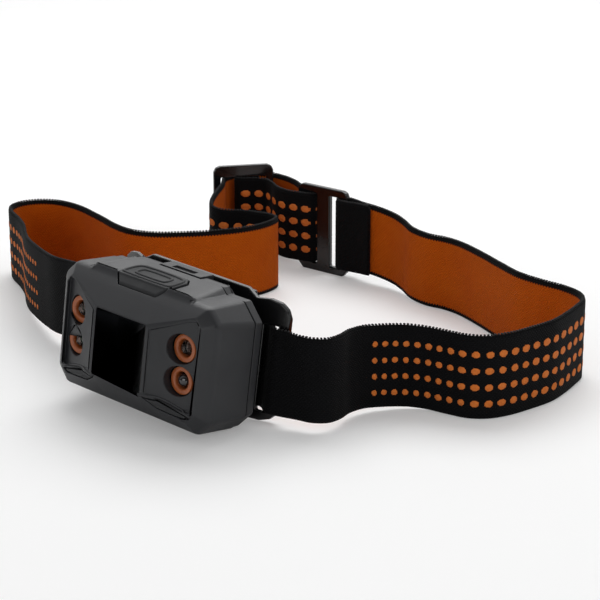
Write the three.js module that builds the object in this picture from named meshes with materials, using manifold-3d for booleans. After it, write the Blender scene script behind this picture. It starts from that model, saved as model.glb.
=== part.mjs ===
// Headlamp lying on a table: a small battery lamp on a tilting bracket, with an elastic head strap,
// an end buckle and a length slider. Millimetres, +Z up. The origin is on the table, under the middle
// of the object's box. The lamp's own frame has x to its left-hand side as it looks out (a viewer's
// right), y to its back and z up, with the centre of the square accent bezel at zero.
import * as THREE from "three";
import { mergeVertices } from "three/addons/utils/BufferGeometryUtils.js";
import { ConvexGeometry } from "three/addons/geometries/ConvexGeometry.js";
import Module from "manifold-3d";

const wasm = await Module();
wasm.setup();

// ---------------------------------------------------------------- driving dimensions
const GAP = 0.3; // clearance between pieces that touch or slide
const SIDES = 24; // flats on a round piece

// How the lamp rests on the table
const LEAN = 5.7; // degrees, top leaning back
const ROLL = 3.37; // degrees, the x side lower
const LAMP_HEIGHT = 23.5; // bezel centre above the table

// Housing, front part
const FACE_Y = 6.3; // where the side walls meet the face
const FACE_HALF = 30.4;
const FACE_TOP = 18.4;
const FACE_BOTTOM = -18.7;
const RIM_Y = 3.2; // raised rim round the two wings
const RIM_HALF = 26.5;
const RIM_TOP = 15.3;
const RIM_BOTTOM = -15.0;
const WINDOW_Y = -0.8; // front of the central block
const WINDOW_HALF = 10.6;
const PART_Y = 20.3; // parting plane, the rear edge of the front shell
const PARTING_GAP = 0.7; // open groove between the two shells
const BODY_HALF = 31;
const SHOULDER_TOP = 18.2;
const BODY_BOTTOM = -19.6;
const ROOF_HALF_FRONT = 19.5; // raised roof wedge
const ROOF_HALF_BACK = 17.5;
const ROOF_FRONT = 18.9;
const ROOF_BACK = 20.1;
const WALL = 1.7;
const WING_FLOOR_IN = -0.45; // y of the wing's floor at its inner edge
const WING_FLOOR_OUT = 4.4;

// Housing, rear part
const REAR_Y = 24.8;
const REAR_INSET = 0.4;
const REAR_CHAMFER = 1.2;
const REAR_WALL = 1.4;

// Light unit
const BEZEL_SIDE = 18.4;
const BEZEL_THICK = 0.9;
const BOWL_MOUTH = 8.7; // radius
const BOWL_THROAT = 2.3;
const BOWL_DEPTH = 7.2;
const BOWL_WALL = 0.5;
const LENS_THICK = 0.6;
const CUP_OUTER = 4.0;
const CUP_BORE = 2.95;
const CUP_FACE_Y = 3.9;
const CUP_BACK_Y = 7.9;
const CUP_X = 20.5;
const CUP_Z = [5.5, -3.8];
const LED_RADIUS = 2.5;
const BOARD_Y = 8.6;
const BOARD_THICK = 1.2;
const BOARD_HALF_X = 26;
const BOARD_TOP = 14;
const BOARD_BOTTOM = -14.5;
const BOSS_RADIUS = 2.0;
const SCREW_RADIUS = 0.7;
const SCREW_HEAD = 1.5;
const SCREW_AT = [
  [14.6, 12.1],
  [-14.6, 12.1],
  [14.6, -12.2],
  [-14.6, -12.2],
];

// Power button and its switch
const BUTTON_PROUD = 0.45;
const BUTTON_THICK = 1.9;
const BUTTON_Y = 11.15; // stem and switch
const STEM_RADIUS = 1.5;
const SWITCH_HALF = 3;
const SWITCH_TOP = 15;
const SWITCH_HEIGHT = 2.6;
const SWITCH_DEPTH = 2.3;
const PLUNGER_RADIUS = 0.8;

// Three AAA cells, side by side on the cell tray
const CELL_RADIUS = 5.25;
const CELL_LENGTH = 44.5;
const NUB_RADIUS = 1.9;
const NUB_LENGTH = 0.9;
const CELL_Y = 17.2;
const CELL_MIDDLE_Z = -0.7;
const CELL_PITCH = 2 * CELL_RADIUS + GAP;
const CONTACT_MARGIN = 1.25; // how far a contact plate stops short of the cell's edge
const SPRING_ROOM = 3.5; // between a cell's flat end and its contact plate
const CONTACT_THICK = 0.4;
const TRAY_FRONT = 16.4;

// Hinges and latch
const OPEN_AXIS = { y: 20.45, z: -19.3 }; // front shell opens about this line
const OPEN_KNUCKLE = 1.4;
const OPEN_PIN = 0.5;
const TILT_AXIS = { y: 27.1, z: -16.4 }; // the lamp tilts on its bracket about this line
const TILT_KNUCKLE = 1.9;
const TILT_PIN = 0.9;
const LATCH_AXIS = { y: 26.5, z: 17.2 };
const LATCH_KNUCKLE = 1.3;
const LATCH_PIN = 0.45;
const LATCH_HALF = 8;
const LATCH_THICK = 1.1;

// Bracket
const BRACKET_Y = 30.2; // middle of the plate
const BRACKET_THICK = 1.6;
const EAR_BEND_X = 23;
const EAR_X = 33;
const EAR_Y = 33.2;
const SLOT_IN = 25.6;
const SLOT_OUT = 30;

// Strap
const STRAP_WIDTH = 25;
const STRAP_THICK = 1.4;
const STRAP_DROP = -2.9; // middle of the strap on the bracket, against the lamp's z
const STRAP_STEPS = 2; // sections for each stretch between two route points

// Buckle and slider
const HARDWARE_THICK = 2;
const BUCKLE_RAIL = 2.8;
const SLIDER_RAIL = 4.2;
const FRAME_INSIDE = STRAP_WIDTH + 2 * GAP;

// ---------------------------------------------------------------- solids
const rad = THREE.MathUtils.degToRad;

function solidOf(geometry) {
  const bare = geometry.index ? geometry.toNonIndexed() : geometry.clone();
  bare.deleteAttribute("normal");
  bare.deleteAttribute("uv");
  const merged = mergeVertices(bare, 1e-4);
  return new wasm.Manifold(
    new wasm.Mesh({
      numProp: 3,
      vertProperties: merged.attributes.position.array,
      triVerts: new Uint32Array(merged.index.array),
    }),
  );
}

function geometryOf(solid) {
  const { vertProperties, triVerts } = solid.getMesh();
  return new THREE.BufferGeometry()
    .setAttribute("position", new THREE.BufferAttribute(vertProperties, 3))
    .setIndex(new THREE.BufferAttribute(triVerts, 1));
}

const join = (...solids) => solids.reduce((whole, next) => whole.add(next));
const cut = (whole, ...tools) => tools.reduce((left, tool) => left.subtract(tool), whole);

function box(x0, x1, y0, y1, z0, z1) {
  const geometry = new THREE.BoxGeometry(x1 - x0, y1 - y0, z1 - z0);
  geometry.translate((x0 + x1) / 2, (y0 + y1) / 2, (z0 + z1) / 2);
  return solidOf(geometry);
}

function rodX(radius, x0, x1, y, z, sides = SIDES) {
  const geometry = new THREE.CylinderGeometry(radius, radius, x1 - x0, sides);
  geometry.rotateZ(Math.PI / 2).translate((x0 + x1) / 2, y, z);
  return solidOf(geometry);
}

function rodY(radius, y0, y1, x, z, sides = SIDES) {
  const geometry = new THREE.CylinderGeometry(radius, radius, y1 - y0, sides);
  geometry.translate(x, (y0 + y1) / 2, z);
  return solidOf(geometry);
}

function rodZ(radius, z0, z1, x, y, sides = SIDES) {
  const geometry = new THREE.CylinderGeometry(radius, radius, z1 - z0, sides);
  geometry.rotateX(Math.PI / 2).translate(x, y, (z0 + z1) / 2);
  return solidOf(geometry);
}

const hull = (points) =>
  solidOf(new ConvexGeometry(points.map(([x, y, z]) => new THREE.Vector3(x, y, z))));

// A flat outline of [a, b] points pushed through a thickness.
function extruded(outline, depth) {
  const shape = new THREE.Shape(outline.map(([a, b]) => new THREE.Vector2(a, b)));
  return new THREE.ExtrudeGeometry(shape, { depth, bevelEnabled: false });
}
const plateXZ = (outline, y0, y1) =>
  solidOf(extruded(outline, y1 - y0).rotateX(Math.PI / 2).translate(0, y1, 0));
const plateXY = (outline, z0, z1) => solidOf(extruded(outline, z1 - z0).translate(0, 0, z0));

// A closed profile of [radius, y] points turned about the line along y through x, z.
function turnedY(profile, x, z, sides = SIDES) {
  const points = profile.map(([r, y]) => new THREE.Vector2(r, y));
  return solidOf(new THREE.LatheGeometry(points, sides).translate(x, 0, z));
}

const mirrored = (right) => [...right, ...right.map(([x, z]) => [-x, z]).reverse()];
const at = (outline, y) => outline.map(([x, z]) => [x, y, z]);

// Outline of the housing's section, clockwise from the top right corner, grown by a margin.
function section(half, top, bottom, cornerTop, cornerBottom, margin = 0) {
  const cut45 = 0.414 * margin; // keeps the chamfers parallel as the outline grows
  return mirrored([
    [half - cornerTop[0] + cut45, top + margin],
    [half + margin, top - cornerTop[1] + cut45],
    [half + margin, bottom + cornerBottom[1] - cut45],
    [half - cornerBottom[0] + cut45, bottom - margin],
  ]);
}
const faceSection = (margin) =>
  section(FACE_HALF, FACE_TOP, FACE_BOTTOM, [4.1, 4.2], [4.2, 4.6], margin);
const bodySection = (margin) =>
  section(BODY_HALF, SHOULDER_TOP, BODY_BOTTOM, [5.2, 5.4], [5, 5.4], margin);
const rimSection = section(RIM_HALF, RIM_TOP, RIM_BOTTOM, [2.2, 2.6], [2.4, 3]);
const windowSection = section(WINDOW_HALF, 10, -10.3, [1, 1], [1, 1]);

// Walls of a piece between two x, for a lug round an axis that joins on to a body.
function lug(x0, x1, axis, radius, foot) {
  const round = [];
  for (let i = 0; i < SIDES; i += 1) {
    const turn = (i / SIDES) * 2 * Math.PI;
    round.push([axis.y + radius * Math.cos(turn), axis.z + radius * Math.sin(turn)]);
  }
  const outline = [...round, ...foot];
  return hull([x0, x1].flatMap((x) => outline.map(([y, z]) => [x, y, z])));
}

// ---------------------------------------------------------------- front shell and what it carries
const frontBlock = join(
  hull([
    ...at(bodySection(0), PART_Y),
    ...at(faceSection(0), FACE_Y),
    ...at(rimSection, RIM_Y),
    ...at(windowSection, WINDOW_Y),
  ]),
  hull([
    ...at(mirrored([[ROOF_HALF_BACK, ROOF_BACK], [ROOF_HALF_BACK + 3, SHOULDER_TOP - 1]]), PART_Y),
    ...at(mirrored([[ROOF_HALF_FRONT, ROOF_FRONT], [ROOF_HALF_FRONT + 0.6, FACE_TOP - 1]]), FACE_Y),
  ]),
);

function wingPocket(side) {
  const outline = [
    [11.2, -9.2],
    [11.2, 8.8],
    [22.8, 13.9],
    [24.8, 14.1],
    [26.2, 12.6],
    [26.2, -10.4],
    [25, -11.9],
    [23, -11.9],
  ];
  const slope = (WING_FLOOR_OUT - WING_FLOOR_IN) / (outline[4][0] - outline[0][0]);
  const floor = outline.map(([x, z]) => [side * x, WING_FLOOR_IN + slope * (x - outline[0][0]), z]);
  const mouth = outline.map(([x, z]) => [side * x, WINDOW_Y - 5, z]);
  return hull([...floor, ...mouth]);
}

// The textured grip under each wing, and the pocket that it sits in.
const INLAY = [
  [9.4, -11],
  [15.4, -10.5],
  [25.2, -13.2],
  [23.8, -14.1],
  [14, -13.6],
];
const INLAY_SMALL = [
  [10.5, -11.3],
  [15.3, -10.85],
  [24.2, -13.25],
  [23.6, -13.8],
  [14.1, -13.3],
];
const INLAY_POCKET_DEPTH = 1.5;
const INLAY_SUNK = 0.2;
const sided = (outline, side) => outline.map(([x, z]) => [side * x, z]);
const inlayPocket = (side) =>
  cut(
    plateXZ(sided(INLAY, side), WINDOW_Y - 5, FACE_Y + 3),
    frontBlock.translate([0, INLAY_POCKET_DEPTH, 0]),
  );
const inlay = (side) =>
  cut(
    plateXZ(sided(INLAY_SMALL, side), WINDOW_Y - 5, FACE_Y + 3).intersect(
      frontBlock.translate([0, INLAY_SUNK, 0]),
    ),
    frontBlock.translate([0, INLAY_POCKET_DEPTH - GAP, 0]),
  );

const BUTTON_OUTLINE = [
  [7.2, 4.7],
  [10.3, 7.4],
  [10.3, 13.6],
  [8.2, 16.4],
];
const BUTTON_HOLE = [
  [7.35, 4.4],
  [10.6, 7.25],
  [10.6, 13.7],
  [8.35, 16.7],
];
const buttonPlan = (right, z0, z1) => plateXY(mirrored(right), z0, z1);

const cups = CUP_Z.flatMap((z) => [CUP_X, -CUP_X].map((x) => [x, z]));

const cavity = hull([
  ...at(bodySection(-WALL), PART_Y + 1),
  ...at(faceSection(-WALL - 0.2), BOARD_Y - 0.6),
  ...at(section(WINDOW_HALF + 0.9, 11.2, -11.2, [1, 1], [1, 1]), 2.6),
]);
const GASKET_OUT = 0.9; // outer edge of the seal, in from the housing's outside
const sealRebate = hull([
  ...at(bodySection(-GASKET_OUT + GAP), PART_Y - 1),
  ...at(bodySection(-GASKET_OUT + GAP), PART_Y + 1),
]);

const OPEN_REACH = 12.6;
const OPEN_FRONT_KNUCKLES = [
  [-12, -7.2],
  [7.2, 12],
];
const OPEN_REAR_KNUCKLES = [[-6.8, 6.8]];
const openFoot = [
  [OPEN_AXIS.y - 3.4, OPEN_AXIS.z + 0.2],
  [OPEN_AXIS.y - 3.4, OPEN_AXIS.z + 1.2],
];
const openRearFoot = [
  [OPEN_AXIS.y + 2.4, OPEN_AXIS.z + 0.4],
  [OPEN_AXIS.y + 2.4, OPEN_AXIS.z + 1.4],
];
const grown = ([x0, x1]) => [x0 - GAP, x1 + GAP];
const openBore = rodX(OPEN_PIN + GAP, -14, 14, OPEN_AXIS.y, OPEN_AXIS.z, 16);

const WINDOW_HOLE = BEZEL_SIDE / 2 + GAP;
const CATCH_HALF = 3.4;
const bosses = SCREW_AT.map(([x, z]) => rodY(BOSS_RADIUS, 3.4, BOARD_Y - GAP, x, z, 16));
const frontShell = cut(
  join(
    cut(
      frontBlock,
      cavity,
      sealRebate,
      wingPocket(1),
      wingPocket(-1),
      inlayPocket(1),
      inlayPocket(-1),
      buttonPlan(BUTTON_HOLE, 12, 24),
      ...OPEN_REAR_KNUCKLES.map(grown).map(([x0, x1]) =>
        rodX(OPEN_KNUCKLE + GAP, x0, x1, OPEN_AXIS.y, OPEN_AXIS.z, 16),
      ),
    ),
    ...bosses,
    ...OPEN_FRONT_KNUCKLES.map(([x0, x1]) => lug(x0, x1, OPEN_AXIS, OPEN_KNUCKLE, openFoot)),
    box(-CATCH_HALF, CATCH_HALF, PART_Y - 1.2, PART_Y + 2.2, ROOF_BACK - 2.5, ROOF_BACK - 1.6),
  ),
  openBore,
  box(-WINDOW_HOLE, WINDOW_HOLE, -5, BEZEL_THICK + 0.5, -WINDOW_HOLE, WINDOW_HOLE),
  rodY(BOWL_MOUTH + BOWL_WALL + GAP, -5, 8, 0, 0, 32),
  ...cups.map(([x, z]) => rodY(CUP_OUTER + GAP, -5, 9, x, z)),
  ...SCREW_AT.map(([x, z]) => rodY(SCREW_RADIUS + GAP, 4.6, 9, x, z, 12)),
);

const bezel = cut(
  plateXZ(
    section(BEZEL_SIDE / 2, BEZEL_SIDE / 2, -BEZEL_SIDE / 2, [0.6, 0.6], [0.6, 0.6]),
    0.2,
    0.2 + BEZEL_THICK,
  ),
  rodY(BOWL_MOUTH + GAP, -1, 3, 0, 0, 40),
);

// The bowl: a deep mirror whose radius falls as the square root of the depth left.
function bowlRadius(share) {
  return BOWL_THROAT + (BOWL_MOUTH - BOWL_THROAT) * Math.sqrt(1 - share);
}
const BOWL_RINGS = 7;
const bowlInside = [];
for (let i = 0; i <= BOWL_RINGS; i += 1) {
  const share = i / BOWL_RINGS;
  bowlInside.push([bowlRadius(share) - 0.35, 0.4 + BOWL_DEPTH * share]);
}
const bowlOutside = bowlInside
  .map(([r, y], i) => [r + BOWL_WALL - (i === 0 ? 0.15 : 0), y])
  .reverse();
const bowlProfile = [...bowlInside, ...bowlOutside];
const reflector = turnedY([...bowlProfile, bowlProfile[0]].reverse(), 0, 0, 32);

const mainLens = rodY(BOWL_MOUTH - 1.1, 0.9, 0.9 + LENS_THICK, 0, 0, 32);
const mainLed = join(
  box(-1.75, 1.75, BOARD_Y - 0.8, BOARD_Y - GAP / 2, -1.75, 1.75),
  turnedY([[0, 6.5], [0.75, 6.7], [1.2, 7.2], [1.35, 7.85], [0, 7.85]], 0, 0, 20),
);

function cup(x, z) {
  const flare = 0.45;
  const profile = [
    [CUP_BORE, CUP_BACK_Y],
    [CUP_BORE, CUP_FACE_Y + 1.1],
    [CUP_BORE + flare, CUP_FACE_Y],
    [CUP_OUTER, CUP_FACE_Y],
    [CUP_OUTER, CUP_BACK_Y],
    [CUP_BORE, CUP_BACK_Y],
  ];
  return turnedY(profile, x, z);
}

function smallLed(x, z) {
  const profile = [
    [0, 2.9],
    [1.1, 3.15],
    [2.0, 3.85],
    [LED_RADIUS, 5.1],
    [LED_RADIUS, 8.2],
    [0, 8.2],
  ];
  return turnedY(profile, x, z, 20);
}

const ledBoard = cut(
  box(-BOARD_HALF_X, BOARD_HALF_X, BOARD_Y, BOARD_Y + BOARD_THICK, BOARD_BOTTOM, BOARD_TOP),
  ...SCREW_AT.map(([x, z]) => rodY(SCREW_RADIUS + GAP, 0, 20, x, z, 12)),
);
const BOARD_BACK = BOARD_Y + BOARD_THICK;

const boardScrew = ([x, z]) =>
  join(
    rodY(SCREW_RADIUS, 5, BOARD_BACK + GAP + 0.2, x, z, 12),
    rodY(SCREW_HEAD, BOARD_BACK + GAP, BOARD_BACK + GAP + 0.9, x, z, 12),
  );

const switchBody = cut(
  box(
    -SWITCH_HALF,
    SWITCH_HALF,
    BUTTON_Y - SWITCH_DEPTH / 2,
    BUTTON_Y + SWITCH_DEPTH / 2,
    SWITCH_TOP - SWITCH_HEIGHT,
    SWITCH_TOP,
  ),
  rodZ(PLUNGER_RADIUS + GAP / 2, SWITCH_TOP - 1.9, SWITCH_TOP + 1, 0, BUTTON_Y, 16),
);
const plunger = rodZ(PLUNGER_RADIUS, SWITCH_TOP - 0.9, SWITCH_TOP + 0.9, 0, BUTTON_Y, 16);
const button = join(
  cut(
    buttonPlan(BUTTON_OUTLINE, 12, 24).intersect(frontBlock.translate([0, 0, BUTTON_PROUD])),
    frontBlock.translate([0, 0, BUTTON_PROUD - BUTTON_THICK]),
  ),
  rodZ(STEM_RADIUS, SWITCH_TOP + 0.9 + GAP, 19, 0, BUTTON_Y, 16),
);

// A bent leaf that presses on a contact plate's edge when the housing is closed.
function contactFinger(x, z) {
  const leaf = [
    [BOARD_BACK + GAP, -0.9],
    [BOARD_BACK + GAP + 0.35, -0.9],
    [BOARD_BACK + GAP + 0.5, 0.5],
    [BOARD_BACK + GAP + 1.0, 0.6],
    [BOARD_BACK + GAP + 1.0, 0.9],
    [BOARD_BACK + GAP, 0.9],
  ];
  const geometry = extruded(leaf.map(([y, dx]) => [x + dx, y]), 3).translate(0, 0, z - 1.5);
  return solidOf(geometry);
}

// ---------------------------------------------------------------- rear shell and what it carries
const rearRoof = (y0, y1, drop) =>
  hull([
    ...at(mirrored([[ROOF_HALF_BACK - REAR_INSET, ROOF_BACK - REAR_INSET], [ROOF_HALF_BACK + 2.6, 17]]), y0),
    ...at(
      mirrored([[ROOF_HALF_BACK - REAR_INSET, ROOF_BACK - REAR_INSET - drop], [ROOF_HALF_BACK + 2.6, 16]]),
      y1,
    ),
  ]);
const REAR_FRONT_Y = PART_Y + PARTING_GAP;
const rearBlock = join(
  hull([
    ...at(bodySection(-REAR_INSET), REAR_FRONT_Y),
    ...at(bodySection(-REAR_INSET), REAR_Y - REAR_CHAMFER),
    ...at(bodySection(-REAR_INSET - REAR_CHAMFER), REAR_Y),
  ]),
  rearRoof(REAR_FRONT_Y, REAR_Y - REAR_CHAMFER, 0),
  rearRoof(REAR_Y - REAR_CHAMFER - 0.01, REAR_Y, REAR_CHAMFER),
);
const rearCavity = hull([
  ...at(bodySection(-WALL - 0.2), REAR_FRONT_Y - 1),
  ...at(bodySection(-WALL - 0.2), REAR_Y - REAR_WALL),
]);
const TILT_REAR_LUGS = [
  [-13, -9],
  [9, 13],
];
const TILT_BRACKET_LUGS = [
  [-8.6, -4.6],
  [4.6, 8.6],
];
const LATCH_LUGS = [
  [-10, -LATCH_HALF - GAP],
  [LATCH_HALF + GAP, 10],
];
const wallFoot = (z0, z1) => [
  [REAR_Y - 0.6, z0],
  [REAR_Y - 0.6, z1],
];
const tiltBore = rodX(TILT_PIN + GAP, -16, 16, TILT_AXIS.y, TILT_AXIS.z, 20);
const latchBore = rodX(LATCH_PIN + GAP, -12, 12, LATCH_AXIS.y, LATCH_AXIS.z, 16);
const LATCH_UNDER = ROOF_BACK - LATCH_THICK;
const rearShell = cut(
  join(
    cut(
      rearBlock,
      rearCavity,
      ...OPEN_FRONT_KNUCKLES.map(grown).map(([x0, x1]) =>
        rodX(OPEN_KNUCKLE + GAP, x0, x1, OPEN_AXIS.y, OPEN_AXIS.z, 16),
      ),
      box(-LATCH_HALF - GAP, LATCH_HALF + GAP, 15, 30, LATCH_UNDER - GAP, 30),
      box(-CATCH_HALF - GAP, CATCH_HALF + GAP, 15, PART_Y + 2.6, ROOF_BACK - 2.8, 30),
    ),
    ...OPEN_REAR_KNUCKLES.map(([x0, x1]) => lug(x0, x1, OPEN_AXIS, OPEN_KNUCKLE, openRearFoot)),
    ...TILT_REAR_LUGS.map(([x0, x1]) =>
      lug(x0, x1, TILT_AXIS, TILT_KNUCKLE, wallFoot(TILT_AXIS.z - 1.2, TILT_AXIS.z + 3.4)),
    ),
    ...LATCH_LUGS.map(([x0, x1]) =>
      lug(x0, x1, LATCH_AXIS, LATCH_KNUCKLE, wallFoot(LATCH_AXIS.z - 3.4, LATCH_AXIS.z - 1.4)),
    ),
  ),
  openBore,
  tiltBore,
  latchBore,
);

const gasket = cut(
  hull([
    ...at(bodySection(-GASKET_OUT), PART_Y - 0.7),
    ...at(bodySection(-GASKET_OUT), REAR_FRONT_Y - 0.2),
  ]),
  hull([
    ...at(bodySection(-WALL - 0.1), PART_Y - 2),
    ...at(bodySection(-WALL - 0.1), PART_Y + 2),
  ]),
  // It stops at each side of the opening hinge
  box(-OPEN_REACH, OPEN_REACH, PART_Y - 3, PART_Y + 3, BODY_BOTTOM - 2, BODY_BOTTOM + WALL + 0.4),
);

const cellZ = [1, 0, -1].map((row) => CELL_MIDDLE_Z + row * CELL_PITCH);
const cellWay = [1, -1, 1]; // which way each cell's nub points
const PLATE_X = CELL_LENGTH / 2 + 2.65; // inner face of the contact plates
const FLAT_END = PLATE_X - SPRING_ROOM;
const NUB_END = CELL_LENGTH - FLAT_END;

function cell(index) {
  const way = cellWay[index];
  const ends = (a, b) => [Math.min(way * a, way * b), Math.max(way * a, way * b)];
  const [b0, b1] = ends(-FLAT_END, NUB_END - NUB_LENGTH);
  const [n0, n1] = ends(NUB_END - NUB_LENGTH - 0.5, NUB_END);
  return join(
    rodX(CELL_RADIUS, b0, b1, CELL_Y, cellZ[index]),
    rodX(NUB_RADIUS, n0, n1, CELL_Y, cellZ[index], 16),
  );
}

const TRAY_WALL = 1.3; // end walls, which reach forward past the tray's floor
const TRAY_WALL_FRONT = TRAY_FRONT - 3.4;
const TRAY_HALF_X = PLATE_X + CONTACT_THICK + GAP + TRAY_WALL;
const TRAY_BACK = REAR_Y - REAR_WALL - GAP;
const TRAY_TOP = cellZ[0] + CELL_RADIUS + 0.45;
const TRAY_BOTTOM = cellZ[2] - CELL_RADIUS - 0.35;
const TRAY_INSET = WALL + 0.9;
const TRAY_FLOOR = 0.6;
const TRAY_RIM = 0.7; // top and bottom edges of the tray, beside the springs
const END_ROOM = CONTACT_THICK + GAP;
const tray = cut(
  join(
    box(-TRAY_HALF_X, TRAY_HALF_X, TRAY_FRONT, TRAY_BACK, TRAY_BOTTOM, TRAY_TOP).intersect(
      plateXZ(bodySection(-TRAY_INSET), TRAY_FRONT - 1, TRAY_BACK + 1),
    ),
    ...[-TRAY_HALF_X, TRAY_HALF_X - TRAY_WALL].map((x) =>
      box(x, x + TRAY_WALL, TRAY_WALL_FRONT, TRAY_BACK, TRAY_BOTTOM + 3.4, TRAY_TOP - 3),
    ),
  ),
  ...cellZ.map((z) => rodX(CELL_RADIUS + GAP, -PLATE_X + 1.2, PLATE_X - 1.2, CELL_Y, z)),
  // Room at each end for the springs and the contact plates
  ...[-PLATE_X - END_ROOM, FLAT_END - END_ROOM].map((x) =>
    box(
      x,
      x + PLATE_X - FLAT_END + 2 * END_ROOM,
      TRAY_WALL_FRONT - 1,
      TRAY_BACK - TRAY_FLOOR,
      TRAY_BOTTOM + TRAY_RIM,
      TRAY_TOP - TRAY_RIM,
    ),
  ),
);

// A contact plate behind one or two cell ends, with a dimple wherever a nub meets it.
function contactPlate(side, rows, frontY) {
  const inner = side * PLATE_X;
  const outer = side * (PLATE_X + CONTACT_THICK);
  const half = CELL_RADIUS - CONTACT_MARGIN;
  const z0 = Math.min(...rows.map((row) => cellZ[row])) - half;
  const z1 = Math.max(...rows.map((row) => cellZ[row])) + half;
  const sheet = box(Math.min(inner, outer), Math.max(inner, outer), frontY, 22, z0, z1);
  const dimples = rows
    .filter((row) => cellWay[row] === side)
    .map((row) => {
      const reach = side * (NUB_END + GAP);
      const back = side * (PLATE_X + 0.1);
      return rodX(1.7, Math.min(reach, back), Math.max(reach, back), CELL_Y, cellZ[row], 12);
    });
  return join(sheet, ...dimples);
}

function contactSpring(index) {
  const side = -cellWay[index];
  const turns = 3;
  const from = FLAT_END + GAP + 0.25;
  const to = PLATE_X - GAP - 0.25;
  class Coil extends THREE.Curve {
    getPoint(t, target = new THREE.Vector3()) {
      const turn = t * turns * 2 * Math.PI;
      const radius = 2.3 + 1.5 * t;
      return target.set(
        side * (from + (to - from) * t),
        CELL_Y + radius * Math.cos(turn),
        cellZ[index] + radius * Math.sin(turn),
      );
    }
  }
  const wire = new THREE.Shape();
  wire.absarc(0, 0, 0.25, 0, 2 * Math.PI);
  return new THREE.ExtrudeGeometry(wire, {
    steps: 36,
    curveSegments: 3,
    extrudePath: new Coil(),
    bevelEnabled: false,
  });
}

// The tongue that lifts to let the front shell swing open, with its finger slot.
const latch = cut(
  join(
    box(-LATCH_HALF, LATCH_HALF, REAR_FRONT_Y + 0.3, LATCH_AXIS.y, LATCH_UNDER, ROOF_BACK),
    rodX(LATCH_KNUCKLE, -LATCH_HALF, LATCH_HALF, LATCH_AXIS.y, LATCH_AXIS.z),
    box(-LATCH_HALF, LATCH_HALF, LATCH_AXIS.y - 1.1, LATCH_AXIS.y + 0.6, LATCH_AXIS.z, ROOF_BACK),
  ),
  latchBore,
  box(-4.2, 4.2, 22.2, 24.5, 15, 25),
);

// ---------------------------------------------------------------- bracket
const EAR_SLOPE = (EAR_Y - BRACKET_Y) / (EAR_X - EAR_BEND_X);
const halfPlate = BRACKET_THICK / 2;
const bracketPlan = [
  [-EAR_X, EAR_Y + halfPlate],
  [-EAR_X, EAR_Y - halfPlate],
  [-EAR_BEND_X, BRACKET_Y - halfPlate],
  [EAR_BEND_X, BRACKET_Y - halfPlate],
  [EAR_X, EAR_Y - halfPlate],
  [EAR_X, EAR_Y + halfPlate],
  [EAR_BEND_X, BRACKET_Y + halfPlate],
  [-EAR_BEND_X, BRACKET_Y + halfPlate],
];
const bracketFace = mirrored([
  [19, 19],
  [22.4, 17],
  [26.8, 17.5],
  [30, 16.9],
  [32, 15.3],
  [EAR_X, 12.8],
  [EAR_X, -12.6],
  [32, -15.6],
  [30, -17.6],
  [27, -18.6],
  [20, -18.6],
  [17.5, -17.4],
]);
const slotHalf = STRAP_WIDTH / 2 + GAP;
const earSlot = (side) =>
  box(
    Math.min(side * SLOT_IN, side * SLOT_OUT),
    Math.max(side * SLOT_IN, side * SLOT_OUT),
    20,
    40,
    STRAP_DROP - slotHalf,
    STRAP_DROP + slotHalf,
  );
const bracket = cut(
  join(
    cut(
      plateXY(bracketPlan, -25, 25).intersect(plateXZ(bracketFace, 20, 40)),
      earSlot(1),
      earSlot(-1),
    ),
    ...TILT_BRACKET_LUGS.map(([x0, x1]) =>
      lug(x0, x1, TILT_AXIS, TILT_KNUCKLE, [
        [BRACKET_Y, TILT_AXIS.z - 1.4],
        [BRACKET_Y, TILT_AXIS.z + 3.4],
      ]),
    ),
    // Forehead rail along the top of the web, proud of the strap behind it
    box(-18, 18, BRACKET_Y, BRACKET_Y + 5, 13, 17),
  ),
  tiltBore,
);

const hingePin = (axis, radius, reach) => rodX(radius, -reach, reach, axis.y, axis.z, 16);

// ---------------------------------------------------------------- the lamp's place on the table
const lamp = new THREE.Group();
lamp.position.set(0, 0, LAMP_HEIGHT);
lamp.rotation.set(rad(-LEAN), rad(ROLL), 0, "XYZ");
lamp.updateMatrix();
const onTable = (x, y, z) => new THREE.Vector3(x, y, z).applyMatrix4(lamp.matrix);

// ---------------------------------------------------------------- strap
// Each route point is [x, y, height of the lower edge above the table]; the strap stands on edge.
const BUCKLE = { x: -53.35, y: 151.8 };
const BUCKLE_HALF = 11.25;
const BAR_WIDTH = 3; // the buckle's end bar under the sewn fold
const WIDE_BAR = 6.2; // and its other one, under the strap that comes from the slider
const WRAP_RADIUS = 2.4; // middle of the strap where it turns round a bar
const WRAP_BACK = 1.1; // centre of that turn, in from the bar's edge

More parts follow.
